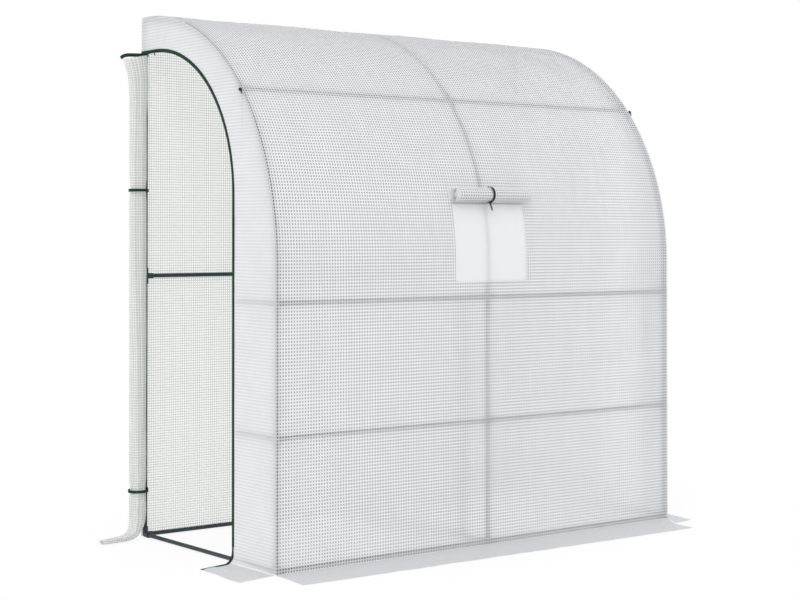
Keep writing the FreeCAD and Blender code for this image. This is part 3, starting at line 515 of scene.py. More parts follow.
def bandSection(width, thickness):  # thin in the first direction, wide in the second
    return np.array([(-1, -1), (1, -1), (1, 1), (-1, 1)]) * (thickness / 2, width / 2)


def roundSection(radius, sides):
    turn = np.arange(sides) * math.tau / sides
    return stacked(np.cos(turn), np.sin(turn)) * radius


# A smooth line through chosen points: each stretch is a cubic with the slope of its neighbours
def smoothThrough(keys, count):
    keys = np.array(keys, float)
    at = np.linspace(0, len(keys) - 1, count)
    base = np.minimum(at.astype(int), len(keys) - 2)
    part = (at - base)[:, None]
    slope = np.gradient(keys, axis=0)
    return (
        keys[base] * (2 * part ** 3 - 3 * part ** 2 + 1) + slope[base] * (part ** 3 - 2 * part ** 2 + part)
        + keys[base + 1] * (3 * part ** 2 - 2 * part ** 3) + slope[base + 1] * (part ** 3 - part ** 2)
    )


def dress(piece, material, body="root"):  # its finish and the body it rides on
    piece.data.materials.append(material)
    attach(piece, body)


# Smooth pseudo-random surface: a sum of sines in random directions. Ripples are given everywhere
# as their height, the number of waves, the longest wave, the shortest one and a seed
def ripple(u, v, height, count, longest, shortest, seed):
    pick = np.random.default_rng(seed)
    total = 0.0 * (u + v)
    for _ in range(count):
        wave = longest * (shortest / longest) ** pick.random()
        turn = pick.random() * math.pi
        phase = pick.random() * math.tau
        total += np.sin(math.tau * (u * math.cos(turn) + v * math.sin(turn)) / wave + phase)
    return total * height / math.sqrt(count)


def insideBy(place, low, high):  # how far a place is inside the nearer of two limits
    return np.minimum(place - low, high - place)


# Even rows and columns between four limits, and how far each place is inside the nearest of them
def rectangle(left, right, bottom, top, counts):
    u, v = np.meshgrid(np.linspace(left, right, counts[0]), np.linspace(bottom, top, counts[1]))
    return u, v, np.minimum(insideBy(u, left, right), insideBy(v, bottom, top))


def fade(distance, reach):  # 0 up to no distance, 1 from the reach on, even between them
    return np.clip(distance / reach, 0, 1)


def cutEvenly(marks, counts):  # each stretch between two marks is cut into equal parts
    parts = [np.linspace(a, b, count + 1)[:-1] for a, b, count in zip(marks, marks[1:], counts)]
    return np.concatenate(parts + [marks[-1:]])


def stations(marks, step):  # places on all the marks and at about one step between them
    marks = sorted(marks)
    return cutEvenly(marks, [max(1, math.ceil((b - a) / step)) for a, b in zip(marks, marks[1:])])


# The ribs' line under the film, as one long run from the floor over the arches to the wall

lineValues = {
    "springHeight": 1.114, "sideRadius": 1.0405, "purlinAngle": math.radians(40), "crownRun": 0.0475,
    "ribs": (-0.932, 0.068, 1.068), "railHeights": (0.011, 0.491, 0.98), "wallGap": 0.0015,
    "groundGap": 0.0006,
}
springHeight, sideRadius = lineValues["springHeight"], lineValues["sideRadius"]
purlinAngle, crownRun = lineValues["purlinAngle"], lineValues["crownRun"]
leftRib, middleRib, _ = lineValues["ribs"]
groundGap = lineValues["groundGap"]
frontCorner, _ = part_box("front_cover")
_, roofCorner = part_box("roof_cover")
filmLeft, filmFront = frontCorner.x, frontCorner.y
filmRight, wallFace, filmTop = roofCorner.x, roofCorner.y, roofCorner.z
rearFace = wallFace - lineValues["wallGap"]
sideCentreY = filmFront + sideRadius
jointY = sideCentreY - sideRadius * math.cos(purlinAngle)
roofCentreY = wallFace - crownRun
roofRadius = (roofCentreY - jointY) / math.cos(purlinAngle)
roofCentreZ = filmTop - roofRadius
sideRun = sideRadius * purlinAngle
lineLength = springHeight + sideRun + roofRadius * (math.pi / 2 - purlinAngle) + crownRun


# Place and outward direction at a run along the line: straight up, then on each of two arcs the
# centre plus the radius in the direction of the turn so far, then level to the wall
def ribLine(run):
    sideTurn = (run - springHeight) / sideRadius
    roofTurn = purlinAngle + (run - springHeight - sideRun) / roofRadius
    onSide = sideTurn < purlinAngle
    turn = np.where(onSide, np.maximum(sideTurn, 0), np.minimum(roofTurn, math.pi / 2))
    radius = np.where(onSide, sideRadius, roofRadius)
    y = np.where(onSide, sideCentreY, roofCentreY) - radius * np.cos(turn)
    z = np.where(onSide, springHeight, roofCentreZ) + radius * np.sin(turn)
    z = np.where(run < springHeight, run, z)
    y = y + np.maximum(0, run - (lineLength - crownRun))
    return y, z, -np.cos(turn), np.sin(turn)


def runAtHeight(z):  # only for heights on the side arch or below: radius times the arc's turn there
    over = max(0, z - springHeight)
    return min(z, springHeight) + sideRadius * math.asin(over / sideRadius)


# Front and roof in one sheet. The window is given by its left, right, bottom and top

coverValues = {
    "window": (-0.104, 0.263, 1.045, 1.345), "windowCalm": 0.08, "windowSeam": 0.02, "foot": 0.0015,
    "footRow": 0.05, "step": 0.0105, "slack": (0.0022, 9, 1.1, 0.35, 3), "ribReach": 0.12,
    "railReach": 0.09, "purlinOffset": 0.01, "ripples": (0.0007, 14, 0.19, 0.06, 5),
    "ripplesOnRibs": 0.35, "creaseHeight": 0.0011, "creaseWidth": 0.007,
    "creasesAcross": (-0.62, -0.3, 0.36, 0.71), "creasesAlong": (0.24, 0.76, 1.5, 1.95, 2.32),
    "wander": (0.004, 5, 0.9, 0.4, 8), "sideCalm": 0.03, "endCalm": 0.05,
}


def restsOn(place, marks, reach):  # 0 on a tube, 1 well away from all of them, by a bell curve
    nearest = np.min([np.abs(place - mark) for mark in marks], axis=0)
    return 1 - np.exp(-(nearest / reach) ** 2)


def crease(place, wander, marks, width):  # a sharp line at each mark, falling off on both sides
    return sum(np.exp(-np.abs((place - mark - wander) / width) * 1.4) for mark in marks)


# Offset from the line: slack between the tubes that carry it, fine ripples that are weaker on the
# ribs, and creases left from the fold it was packed in. All fade at the window and the edges
def filmOffset(x, run, values):
    ribs = restsOn(x, lineValues["ribs"], values["ribReach"])
    purlin = springHeight + sideRun - values["purlinOffset"]
    rails = restsOn(run, lineValues["railHeights"] + (purlin, lineLength), values["railReach"])
    slack = ripple(x, run, *values["slack"]) * ribs * rails
    fine = ripple(x * 1.6, run, *values["ripples"])
    fine = fine * (values["ripplesOnRibs"] + (1 - values["ripplesOnRibs"]) * ribs)
    wander = ripple(x, run, *values["wander"])
    folds = crease(x, wander, values["creasesAcross"], values["creaseWidth"])
    folds = folds + crease(run, wander, values["creasesAlong"], values["creaseWidth"])
    left, right, bottom, top = values["window"]
    away = -np.minimum(insideBy(x, left, right), insideBy(run, bottom, top + values["windowSeam"]))
    edges = fade(insideBy(x, filmLeft, filmRight), values["sideCalm"])
    edges = edges * fade(insideBy(run, values["foot"], lineLength), values["endCalm"])
    calm = fade(away, values["windowCalm"])
    return (slack + fine + values["creaseHeight"] * folds) * calm * edges


def coverPoints(x, run, away):  # the line's place at the run, moved outward by the distance away
    y, z, outY, outZ = ribLine(run)
    return stacked(x, y + outY * away, z + outZ * away)


def addCover(values):
    left, right, bottom, top = values["window"]
    low, high = runAtHeight(bottom), runAtHeight(top)
    x, run = np.meshgrid(
        stations([filmLeft, *lineValues["ribs"], left, right, filmRight], values["step"]),
        stations([values["foot"], values["footRow"], springHeight, low, high, lineLength], values["step"]),
    )
    middleX = (x[:-1, :-1] + x[1:, 1:]) / 2
    middleRun = (run[:-1, :-1] + run[1:, 1:]) / 2
    hole = (insideBy(middleX, left, right) > 0) & (insideBy(middleRun, low, high) > 0)
    points = coverPoints(x, run, filmOffset(x, run, values))
    cover = addGrid("cover_sheet", points, stacked(x - leftRib, run), keep=~hole)
    dress(cover, filmMaterial)
    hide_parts("front_cover", "roof_cover")


addCover(coverValues)
print("cover done")


# Net behind the window, sewn in along a hem. It sags a little behind the film, less at its edges

windowNetValues = {
    "cuts": (60, 50), "behind": 0.0021, "sag": (0.0012, 6, 0.5, 0.15, 21), "calm": 0.05,
}


def addWindowNet(values):
    low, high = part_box("window_mesh")
    bottom, top = runAtHeight(low.z), runAtHeight(high.z)
    x, run, inside = rectangle(low.x, high.x, bottom, top, values["cuts"])
    sag = ripple(x, run, *values["sag"]) * fade(inside, values["calm"])
    points = coverPoints(x, run, -values["behind"] - np.abs(sag))
    net = addGrid("window_net", points, stacked(x, run))
    dress(net, netMaterial)
    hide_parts("window_mesh")


addWindowNet(windowNetValues)


# An end: the strip of film between the ribs' line and the zip's line, and the skirt that it
# turns into on the floor. The zip's line goes straight up, a quarter round, then level to the wall

endValues = {
    "left": {
        "face": -0.945, "out": -1, "zipLine": -0.0805, "zipHeight": 1.378, "zipCentre": 0.4995,
        "skirtInner": ((-0.9455, -0.374), (-0.9455, -0.0805)),
        "skirtOuter": ((-1.1235, -0.4175), (-1.1065, -0.1175)),
        "bend": (0.006, 0.045), "nodes": ("left_end_cover", "left_skirt"),
    },
    "right": {
        "face": 1.081, "out": 1, "zipLine": -0.2155, "zipHeight": 1.28, "zipCentre": 0.5995,
        "skirtInner": ((1.0815, -0.374), (1.0815, -0.2155)),
        "skirtOuter": ((1.0015, -0.4995), (1.1295, -0.4725), (1.1625, -0.2255)),
        "bend": (0.006, 0.02), "nodes": ("right_end_cover", "right_skirt"),
    },
}
endSheetValues = {
    "columns": 34, "rows": (80, 70, 3), "footRows": 46, "footHeight": 0.06, "inset": 0.0018,
    "wave": (0.0016, 8, 0.7, 0.2, 31), "fine": (0.0006, 10, 0.15, 0.05, 33),
    "calmPower": 0.7, "calmHeight": 0.15,
    "lift": (0.0016, 7, 0.3, 0.1, 41), "liftFrom": 0.02, "liftReach": 0.06,
    "bendSaving": 0.43,  # in bend radii: a bend is that much shorter than its two straight legs
    "skirtFrom": 0.3,  # share of the foot, from its top, that still looks like the end's film
    "edgeCuts": (90, 420),
}


def zipArc(values):  # radius and length of the quarter round
    radius = values["zipCentre"] - values["zipLine"]
    return radius, radius * math.pi / 2


def zipRun(values, run):  # place on the zip's line at a run from the floor
    radius, arc = zipArc(values)
    over = run - values["zipHeight"]
    turn = np.clip(over / radius, 0, math.pi / 2)
    y = values["zipCentre"] - radius * np.cos(turn) + np.maximum(0, over - arc)
    return y, np.where(over < 0, run, values["zipHeight"] + radius * np.sin(turn))


def zipLength(values):
    return values["zipHeight"] + zipArc(values)[1] + rearFace - values["zipCentre"]


def bendTurn(height, bend):  # 0 above the bend, a quarter turn at its end and beyond
    return np.clip((bend - height) / bend, 0, math.pi / 2)


# Film that comes down and turns out over the floor round a bend: height above the bend stays,
# the bend is a quarter circle, and the rest lies level and goes on outwards
def bentSheet(height, bend):
    turn = bendTurn(height, bend)
    flat = np.maximum(0, bend * (1 - math.pi / 2) - height)
    z = np.where(height > bend, height, bend * (1 - np.sin(turn)))
    return bend * (1 - np.cos(turn)) + flat, np.maximum(z, groundGap)


def skirtEdges(values, share):  # the skirt's two edges at a share of their lengths, and how far apart
    inner, outer = [alongPolyline(values[edge], share) for edge in ("skirtInner", "skirtOuter")]
    return inner, outer, np.linalg.norm(outer - inner, axis=1)


# The foot by steps, 1 at the skirt's outer edge and 0 at the foot's top: its points, the way they
# face, how far out they are, and their place on the flat cloth, where the height just runs on
def footOf(values, shape, share, steps):
    inner, outer, reach = skirtEdges(values, share)
    wayX, wayY = ((outer - inner) / reach[:, None]).T
    low, high = values["bend"]
    bend = low + (high - low) * share ** 2
    heights = shape["footHeight"] * (1 - steps) - (reach - shape["bendSaving"] * bend) * steps
    out, up = bentSheet(heights, bend)
    turn = bendTurn(heights, bend)
    points = stacked(values["face"] + wayX * out, inner[:, 1] + wayY * out, up)
    facing = stacked(wayX * np.cos(turn), wayY * np.cos(turn), np.sin(turn))
    return points, facing, out, stacked(inner[:, 1], heights)


# The strip is even between the two lines and waves in and out of the end's face. The foot follows
# the bend, and its last part on the floor lifts a little
def addEnd(side, values, shape):
    share = np.linspace(0, 1, shape["columns"])
    footHeight, zipHeight = shape["footHeight"], values["zipHeight"]
    zipMarks = [footHeight, zipHeight, zipHeight + zipArc(values)[1], zipLength(values)]
    lineMarks = [
        footHeight, runAtHeight(zipHeight), lineLength - crownRun, lineLength - lineValues["wallGap"],
    ]
    zipY, zipZ = zipRun(values, cutEvenly(zipMarks, shape["rows"]))
    lineRuns = cutEvenly(lineMarks, shape["rows"])
    lineY, lineZ, outY, outZ = ribLine(lineRuns)
    lineY, lineZ = lineY - outY * shape["inset"], lineZ - outZ * shape["inset"]
    y = lineY[:, None] + (zipY - lineY)[:, None] * share
    z = lineZ[:, None] + (zipZ - lineZ)[:, None] * share
    wave = ripple(y, z, *shape["wave"]) + ripple(y * 2, z, *shape["fine"])
    wave = wave * np.sin(math.pi * share) ** shape["calmPower"] * fade(z, shape["calmHeight"])
    strip, stripCloth = stacked(values["face"] + values["out"] * wave, y, z), stacked(y, z)
    steps = np.linspace(1, 0, shape["footRows"])[:, None]
    foot, _, out, footCloth = footOf(values, shape, share, steps)
    lift = shape["lift"][0] + ripple(out + 3, footCloth[..., 0], *shape["lift"])
    foot[..., 2] += fade(out - shape["liftFrom"], shape["liftReach"]) * lift
    foot[..., 2] = np.maximum(foot[..., 2], groundGap)
    points = np.concatenate([foot[:-1], strip])  # the foot's outer edge is the first row
    cloth = np.concatenate([footCloth[:-1], stripCloth])
    sheet = addGrid(f"{side}_end_sheet", points, cloth, flip=values["out"] > 0)
    dress(sheet, endMaterial)
    sheet.data.materials.append(skirtMaterial)
    onFloor = np.zeros((len(points) - 1, len(share) - 1), np.int32)
    onFloor[:np.count_nonzero(steps > shape["skirtFrom"])] = 1
    sheet.data.polygons.foreach_set("material_index", onFloor.ravel())
    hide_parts(*values["nodes"])
    areas = np.zeros(len(sheet.data.polygons), np.float32)
    sheet.data.polygons.foreach_get("area", areas)


for side, values in endValues.items():
    addEnd(side, values, endSheetValues)
print("ends done")


# Rear film against the wall, with slack that only stands off towards the room

rearValues = {
    "cuts": (120, 120), "foot": 0.002, "topGap": 0.0025, "slack": 0.0009, "waves": (0.5, 10, 0.8, 0.18, 51),
    "calm": 0.06, "clothStart": (0.004, 0.003),
}


def addRear(values):
    foot, top = values["foot"], filmTop - values["topGap"]
    x, z, inside = rectangle(filmLeft, filmRight, foot, top, values["cuts"])
    wave = values["slack"] * (1 + ripple(x, z, *values["waves"])) * fade(inside, values["calm"])
    points = stacked(x, wallFace - groundGap - np.abs(wave), z)
    rear = addGrid("rear_sheet", points, stacked(x, z) + values["clothStart"], flip=True)
    dress(rear, rearMaterial)
    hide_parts("rear_cover")


addRear(rearValues)


# Strip of film between the right door and the wall. Its free edge waves, its wall edge is still

rearStripValues = {
    "front": 0.59, "foot": 0.002, "top": 2.095, "cuts": (4, 150), "wave": (0.001, 5, 0.5, 0.1, 52),
}


def addRightRearStrip(values):
    front, foot, top = values["front"], values["foot"], values["top"]
    y, z, _ = rectangle(front, rearFace, foot, top, values["cuts"])
    wave = ripple(y, z, *values["wave"]) * (rearFace - y) / (rearFace - front)
    points = stacked(endValues["right"]["face"] - np.abs(wave), y, z)
    strip = addGrid("right_rear_strip", points, stacked(y, z))
    dress(strip, filmMaterial)


addRightRearStrip(rearStripValues)


# Front skirt on the floor: the cover's last hand's breadth, cut at the corners and turned out

skirtValues = {
    "inner": ((-0.9455, -0.374), (1.0785, -0.374)), "outer": ((-0.9675, -0.5805), (0.9845, -0.6155)),
    "rightEdge": ((1.0785, -0.374), (0.9985, -0.4995), (0.9845, -0.6155)), "cuts": (160, 22),
    "lift": (0.0012, 9, 0.9, 0.12, 61), "liftReach": 0.25, "flat": (2.03, 0.24),
    "area": 0.44,
}


# Between its four edges: what the inner and outer edges give, plus what the side edges give,
# less what the four corners alone would give
def addFrontSkirt(values):
    u, v = [np.linspace(0, 1, count) for count in values["cuts"]]
    inner, outer = alongPolyline(values["inner"], u), alongPolyline(values["outer"], u)
    leftEdge = alongPolyline((values["inner"][0], values["outer"][0]), v)
    rightEdge = alongPolyline(values["rightEdge"], v)
    across, down = u[None, :, None], v[:, None, None]
    corners = (
        inner[0] * (1 - across) * (1 - down) + inner[-1] * across * (1 - down)
        + outer[0] * (1 - across) * down + outer[-1] * across * down
    )
    flat = (
        inner[None] * (1 - down) + outer[None] * down
        + leftEdge[:, None] * (1 - across) + rightEdge[:, None] * across - corners
    )
    x, y = flat[..., 0], flat[..., 1]
    fold = np.abs(ripple(x, y * 0.6, *values["lift"])) * fade(v[:, None], values["liftReach"])
    skirt = addGrid("front_skirt_sheet", stacked(x, y, groundGap + fold), flat, flip=True)
    dress(skirt, skirtMaterial)
    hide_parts("front_skirt")


addFrontSkirt(skirtValues)
print("rear, strip and skirt done")


# Zips: a tape sewn on the cloth's edge with a coil of teeth along its middle

zipValues = {
    "tapeWidth": 0.0145, "tapeThickness": 0.001, "tapeStep": 0.01, "coilRadius": 0.0016,
    "coilSink": 0.7, "coilSize": 0.85, "toothPitch": 0.003, "toothSwell": 0.3,
}


# The edge of an end, with its outward direction: from the skirt's tip in along the floor, round
# the bend as the sheet does, and along the zip's line to the wall
def edgePath(values, shape):
    steps = np.linspace(1, 0, shape["edgeCuts"][0])[:-1, None]
    foot, footOut, _, _ = footOf(values, shape, np.array([1.0]), steps)
    y, z = zipRun(values, np.linspace(shape["footHeight"], zipLength(values), shape["edgeCuts"][1]))
    rise, riseOut = stacked(values["face"], y, z), stacked(values["out"], 0.0, 0 * y)
    return np.concatenate([foot[:, 0], rise]), np.concatenate([footOut[:, 0], riseOut])


# Four rings make a tooth: the coil's radius swells and shrinks by a cosine along its line
def addZip(name, path, hints, body, node):
    values = zipValues
    tape = addSweep(
        f"{name}_band", *evenly(path, hints, values["tapeStep"]),
        bandSection(values["tapeWidth"], values["tapeThickness"]), smooth=False,
    )
    dress(tape, tapeMaterial, body)
    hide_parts(node)
    line, out = evenly(path, hints, values["toothPitch"] / 4)
    first, _ = pathFrames(line, out)
    line = line + first * (values["tapeThickness"] / 2 + values["coilRadius"] * values["coilSink"])
    swell = 1 + values["toothSwell"] * np.cos(np.arange(len(line)) * math.pi / 2)
    section = roundSection(values["coilRadius"] * values["coilSize"], 6) * swell[:, None, None]
    dress(addSweep(f"{name}_coil", line, out, section), coilMaterial, body)


for side, values in endValues.items():
    edge, outward = edgePath(values, endSheetValues)
    first, second = pathFrames(edge, outward)
    edge = edge - second * values["out"] * zipValues["tapeWidth"] / 2
    edge = edge + first * (zipValues["tapeThickness"] / 2 + groundGap)
    addZip(f"{side}_zip", edge, outward, "root", f"{side}_zip_tape")


# Left door, rolled up into a bundle beside the wall post. Its section is a spiral whose
# turns are scalloped by upright folds, and the spine below runs from the tip on the floor to the top

bundleValues = {
    # place of the spine, then half the bundle's depth across Y and half its width the other way
    "spine": (
        (-1.158, 0.547, 0.0105, 0.024, 0.01), (-1.125, 0.549, 0.011, 0.028, 0.0105),
        (-1.085, 0.552, 0.012, 0.031, 0.0115), (-1.048, 0.556, 0.015, 0.034, 0.0145),
        (-1.018, 0.561, 0.024, 0.036, 0.0215), (-0.998, 0.567, 0.043, 0.037, 0.03),
        (-0.986, 0.57, 0.075, 0.038, 0.0365), (-0.982, 0.5715, 0.115, 0.038, 0.0385),
    ),
    "straightTop": 1.7,
    "top": (
        (-0.981, 0.5705, 1.76, 0.037, 0.041), (-0.9815, 0.569, 1.82, 0.034, 0.046),
        (-0.985, 0.568, 1.87, 0.031, 0.05), (-0.992, 0.568, 1.91, 0.028, 0.056),
        (-0.999, 0.568, 1.943, 0.024, 0.064),
    ),
    # levels are the rows at the foot, along the straight part with its ends, and at the top
    "levels": (60, 228, 24), "around": 300, "turns": 3.25, "startTurn": 0.9, "sway": 0.25,
    "swayRate": 3.1, "innerShare": 0.22, "growth": 0.85, "folds": 9, "foldDepth": 0.16,
    "foldWaves": (0.5, 6, 1.4, 0.3, 71), "depthWaves": (0.2, 5, 0.5, 0.1, 72),
    "rough": (0.012, 8, 0.8, 0.1, 73), "lowest": 0.0008, "topHeight": 1.941, "tieHeights": (0.196, 1.406),
    "tieReach": 0.05, "tiePull": 0.1, "flat": (0.63, 1.99),
}


def bundleSpine(values):  # smooth at the foot and at the top, straight between them
    footRows, middleRows, topRows = values["levels"]
    foot = smoothThrough(values["spine"], footRows)
    x, y, _, depth, width = values["spine"][-1]
    top = smoothThrough(((x, y, values["straightTop"], depth, width),) + values["top"], topRows)
    share = np.linspace(0, 1, middleRows)[1:-1, None]
    return np.concatenate([foot, foot[-1] * (1 - share) + top[0] * share, top])


def tieSqueeze(run, values):  # 1 at a tie, falling evenly to 0 at the reach above and below it
    height = run - run[-1] + values["topHeight"]
    away = np.min([np.abs(height - tie) for tie in values["tieHeights"]], axis=0)
    return np.clip(1 - away / values["tieReach"], 0, 1)


# Each row is the spine's place plus its two half widths times the radius at the turn. The radius
# grows from the inner share to 1, less the folds, and is drawn in by the ties
def addBundle(values):
    spine = bundleSpine(values)
    path, halves = spine[:, :3], spine[:, 3:]
    first, second = pathFrames(path, np.tile([0.0, 1.0, 0.0], (len(path), 1)))
    run = pathRun(path)[:, None]
    share = np.linspace(0, 1, values["around"])[None, :]
    turn = share * values["turns"] * math.tau
    turn = turn + values["startTurn"] + values["sway"] * np.sin(run * values["swayRate"])
    radius = values["innerShare"] + (1 - values["innerShare"]) * share ** values["growth"]
    fold = values["folds"] / 2 * turn + ripple(run, share * 3, *values["foldWaves"])
    depth = values["foldDepth"] * share * (0.8 + ripple(run, share, *values["depthWaves"]))
    radius = radius * (1 - depth * (1 - np.abs(np.sin(fold))))
    rough = ripple(run * 2, share * 9, *values["rough"])
    radius = np.minimum(radius + rough * share, 1) * (1 - values["tiePull"] * tieSqueeze(run, values))
    points = (
        path[:, None] + first[:, None] * (np.cos(turn) * radius * halves[:, :1])[..., None]
        + second[:, None] * (np.sin(turn) * radius * halves[:, 1:])[..., None]
    )
    points[..., 2] = np.maximum(points[..., 2], values["lowest"])
    around = pathRun(points[len(points) // 2])
    bundle = addGrid("left_door_bundle", points, stacked(around, run))
    dress(bundle, bundleMaterial)
    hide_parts("left_door_roll")


addBundle(bundleValues)


# Webbing loops that hold the bundle to the post, one band round both circles each

loopValues = {
    "bundle": ((-0.982, 0.5715), 0.0398), "post": ((-0.932, 0.602), 0.0093), "band": (0.011, 0.0014),
    "step": 0.0025, "cuts": (60, 16),
}


def circlePart(centre, radius, start, end, count):
    turn = np.linspace(start, end, count)
    return stacked(np.cos(turn), np.sin(turn)) * radius + centre


# The far side of the big circle, then the far side of the small one, joined by their outer
# tangents. Their angle's cosine is the difference of the radii divided by the span
def loopRound(big, bigRadius, small, smallRadius, z, values):
    span = math.dist(big, small)
    heading = math.atan2(small[1] - big[1], small[0] - big[0])
    swing = math.acos((bigRadius - smallRadius) / span)
    farCount, nearCount = values["cuts"]
    around = np.concatenate([
        circlePart(big, bigRadius, heading + swing, heading + math.tau - swing, farCount),
        circlePart(small, smallRadius, heading - swing, heading + swing, nearCount),
    ])
    path = closed(stacked(*around.T, z))
    return evenly(path, path, values["step"])[0][:-1]


def joinPieces(name, pieces):
    bpy.context.view_layer.update()
    for other in bpy.context.view_layer.objects:
        other.select_set(other in pieces)
    bpy.context.view_layer.objects.active = pieces[0]
    bpy.ops.object.join()
    joined = bpy.context.view_layer.objects.active
    joined.name = name
    joined.select_set(False)
    return joined


def addBundleTies(values):
    pieces = []
    for height in bundleValues["tieHeights"]:
        path = loopRound(*values["bundle"], *values["post"], height, values)
        section = bandSection(*values["band"])
        pieces.append(addSweep("loop", path, path - path.mean(axis=0), section, loop=True))
    ties = joinPieces("left_bundle_ties", pieces)
    dress(ties, tieMaterial)
    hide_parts("left_door_ties")


addBundleTies(loopValues)


# The rolled door's half of the zip, upright along the top of the bundle and curled down at its far end

bundleZipKeys = (
    (-0.94, 0.568, 1.953), (-0.96, 0.568, 1.9522), (-0.985, 0.568, 1.9513),
    (-1.015, 0.568, 1.9504), (-1.04, 0.568, 1.948), (-1.056, 0.569, 1.9425),
    (-1.064, 0.571, 1.935),
)
bundleZipPath = smoothThrough(bundleZipKeys, 40)
bundleZipOut = np.tile([0.0, -1.0, 0.0], (len(bundleZipPath), 1))
addZip("left_bundle_zip", bundleZipPath, bundleZipOut, "root", "left_flap_zip")
print("zips and rolled door done")


# Right door, hanging in folds from its curved top. The edge is a quarter of an ellipse

flapValues = {
    "midPlane": 1.105, "front": 0.0745, "back": 0.59, "foot": 0.006, "spring": 1.28, "top": 2.065,
    "cuts": (260, 170), "folds": 12, "depth": 0.0137, "mostDepth": 0.02, "gather": 0.006,
    "lean": (0.9, 6, 1.8, 0.5, 81), "depthWaves": (0.15, 5, 0.9, 0.2, 82),
    "topReach": 0.35, "edgeCalm": 0.03, "clothRow": 60, "flat": (0.77, 2.06),
    "edgeCuts": (60, 90), "zipPlace": (0.001, -0.002),
}


# Folds are sines across the door, shallower at the top, with a phase that leans. The edge that
# carries the zip goes up the front and then over a quarter of the ellipse to the back
def addRightFlap(values):
    front, back, foot = values["front"], values["back"], values["foot"]
    spring, rise = values["spring"], values["top"] - values["spring"]
    u, v = [np.linspace(0, 1, count) for count in values["cuts"]]
    v = v[:, None]
    top = spring + rise * np.sqrt(np.maximum(0, 1 - (1 - u) ** 2))
    z = foot + (top - foot) * v
    below = fade(top - z, values["topReach"])
    phase = math.tau * values["folds"] * u + ripple(u * 0.6, z, *values["lean"])
    swing = values["depth"] * (0.45 + 0.55 * below) * (0.85 + ripple(u, z, *values["depthWaves"]))
    calm = fade(insideBy(u, 0, 1), values["edgeCalm"])
    most = values["mostDepth"]
    x = values["midPlane"] + np.clip(swing * np.sin(phase), -most, most) * calm
    y = front + (back - front) * u + values["gather"] * np.sin(2 * phase) * calm
    points = stacked(x, y, z)
    flap = addGrid("right_flap_sheet", points, stacked(pathRun(points[values["clothRow"]]), z))
    dress(flap, flapMaterial, "right_door")
    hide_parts("right_door_flap")

    uprightCount, archCount = values["edgeCuts"]
    turn = np.linspace(0, math.pi / 2, archCount)[1:]
    edgeY = np.concatenate([np.full(uprightCount, front), back - (back - front) * np.cos(turn)])
    edgeZ = np.concatenate([np.linspace(foot, spring, uprightCount), spring + rise * np.sin(turn)])
    moveX, moveY = values["zipPlace"]
    edge = stacked(values["midPlane"] + moveX, edgeY + moveY, edgeZ)
    addZip("right_flap_zip", edge, stacked(1.0, 0.0, 0 * edgeZ), "right_door", "right_flap_zip")


addRightFlap(flapValues)


# Window flap rolled up: a sheet wound into a spiral with a tail that runs up to its seam

rollValues = {
    "angle": math.asin(0.264 / 1.0405), "offFilm": 0.0022,
    "outer": 0.03, "inner": 0.0055, "turns": 4.5, "tail": 0.038,
    "left": -0.112, "right": 0.277, "hem": 0.012, "cuts": (120, 230, 8),
    "wrinkle": (0.0011, 8, 0.3, 0.06, 91), "wrinkleFrom": 12,
    "telescope": 0.0012, "telescopeRate": 9,
}


def rollPlace(values, localY, localZ):  # from the roll's own section to the frame, turned by its angle
    away = sideRadius + values["offFilm"] + values["outer"]
    c, s = math.cos(values["angle"]), math.sin(values["angle"])
    localY = localY - away
    return sideCentreY + localY * c + localZ * s, springHeight - localY * s + localZ * c


# The radius shrinks evenly with the turn. Wrinkles only press the wound part inwards, and the
# layers stand out a little at both ends, more the deeper they are
def addWindowRoll(values):
    left, right = values["left"], values["right"]
    acrossCount, woundCount, tailCount = values["cuts"]
    tail = np.linspace(1, 0, tailCount + 1)[:-1]
    share = np.linspace(0, 1, woundCount)
    turn = -share * values["turns"] * math.tau
    radius = values["outer"] + (values["inner"] - values["outer"]) * share
    localY = np.concatenate([np.full(tailCount, values["outer"]), radius * np.cos(turn)])
    localZ = np.concatenate([values["tail"] * tail, radius * np.sin(turn)])
    x = np.linspace(left, right, acrossCount)
    depth = np.concatenate([0 * tail, share])[:, None]
    run = pathRun(stacked(localY, localZ))[:, None]
    spread = x + 0 * run
    wound = np.minimum(depth * values["wrinkleFrom"], 1)
    wrinkle = np.abs(ripple(spread, run * 0.5, *values["wrinkle"])) * wound
    scale = 1 - wrinkle / np.hypot(localY, localZ)[:, None]
    y, z = rollPlace(values, localY[:, None] * scale, localZ[:, None] * scale)
    ends = 2 * (spread - left) / (right - left) - 1
    ends = ends * values["telescope"] * depth * (1 + np.sin(values["telescopeRate"] * depth))
    roll = addGrid("window_roll_sheet", stacked(spread + ends, y, z), stacked(x, run), flip=True)
    dress(roll, rollMaterial, "window_flap")
    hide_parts("window_roll")
    roll.data.materials.append(hemMaterial)
    hemmed = insideBy((x[1:] + x[:-1]) / 2, left, right) < values["hem"]
    roll.data.polygons.foreach_set("material_index", np.tile(hemmed, len(run) - 1).astype(np.int32))


addWindowRoll(rollValues)


# Tie round the roll, open where the flap runs up to its seam, knotted low in front with a hanging end.
# A knot is a short run whose section swells in the middle

windowTieValues = {
    "fromRib": 0.0045, "offRoll": 0.0012, "ring": (84, 345), "ringBand": (0.0095, 0.0013),
    "knotAngle": 258, "knotOut": 0.003, "knotAside": -0.011, "knotHalf": 0.0075, "knotDip": -0.001,
    "knotRadius": 0.0044, "endBand": (0.0085, 0.0014),
    "end": ((-0.001, -0.001, 0), (-0.001, -0.004, -0.01), (0.003, -0.005, -0.02), (0.008, -0.004, -0.032)),
}


def swollen(turn, least):  # from thin to 1 and back over half a turn: the root of the sine
    return np.sqrt(np.maximum(least, np.sin(turn)))


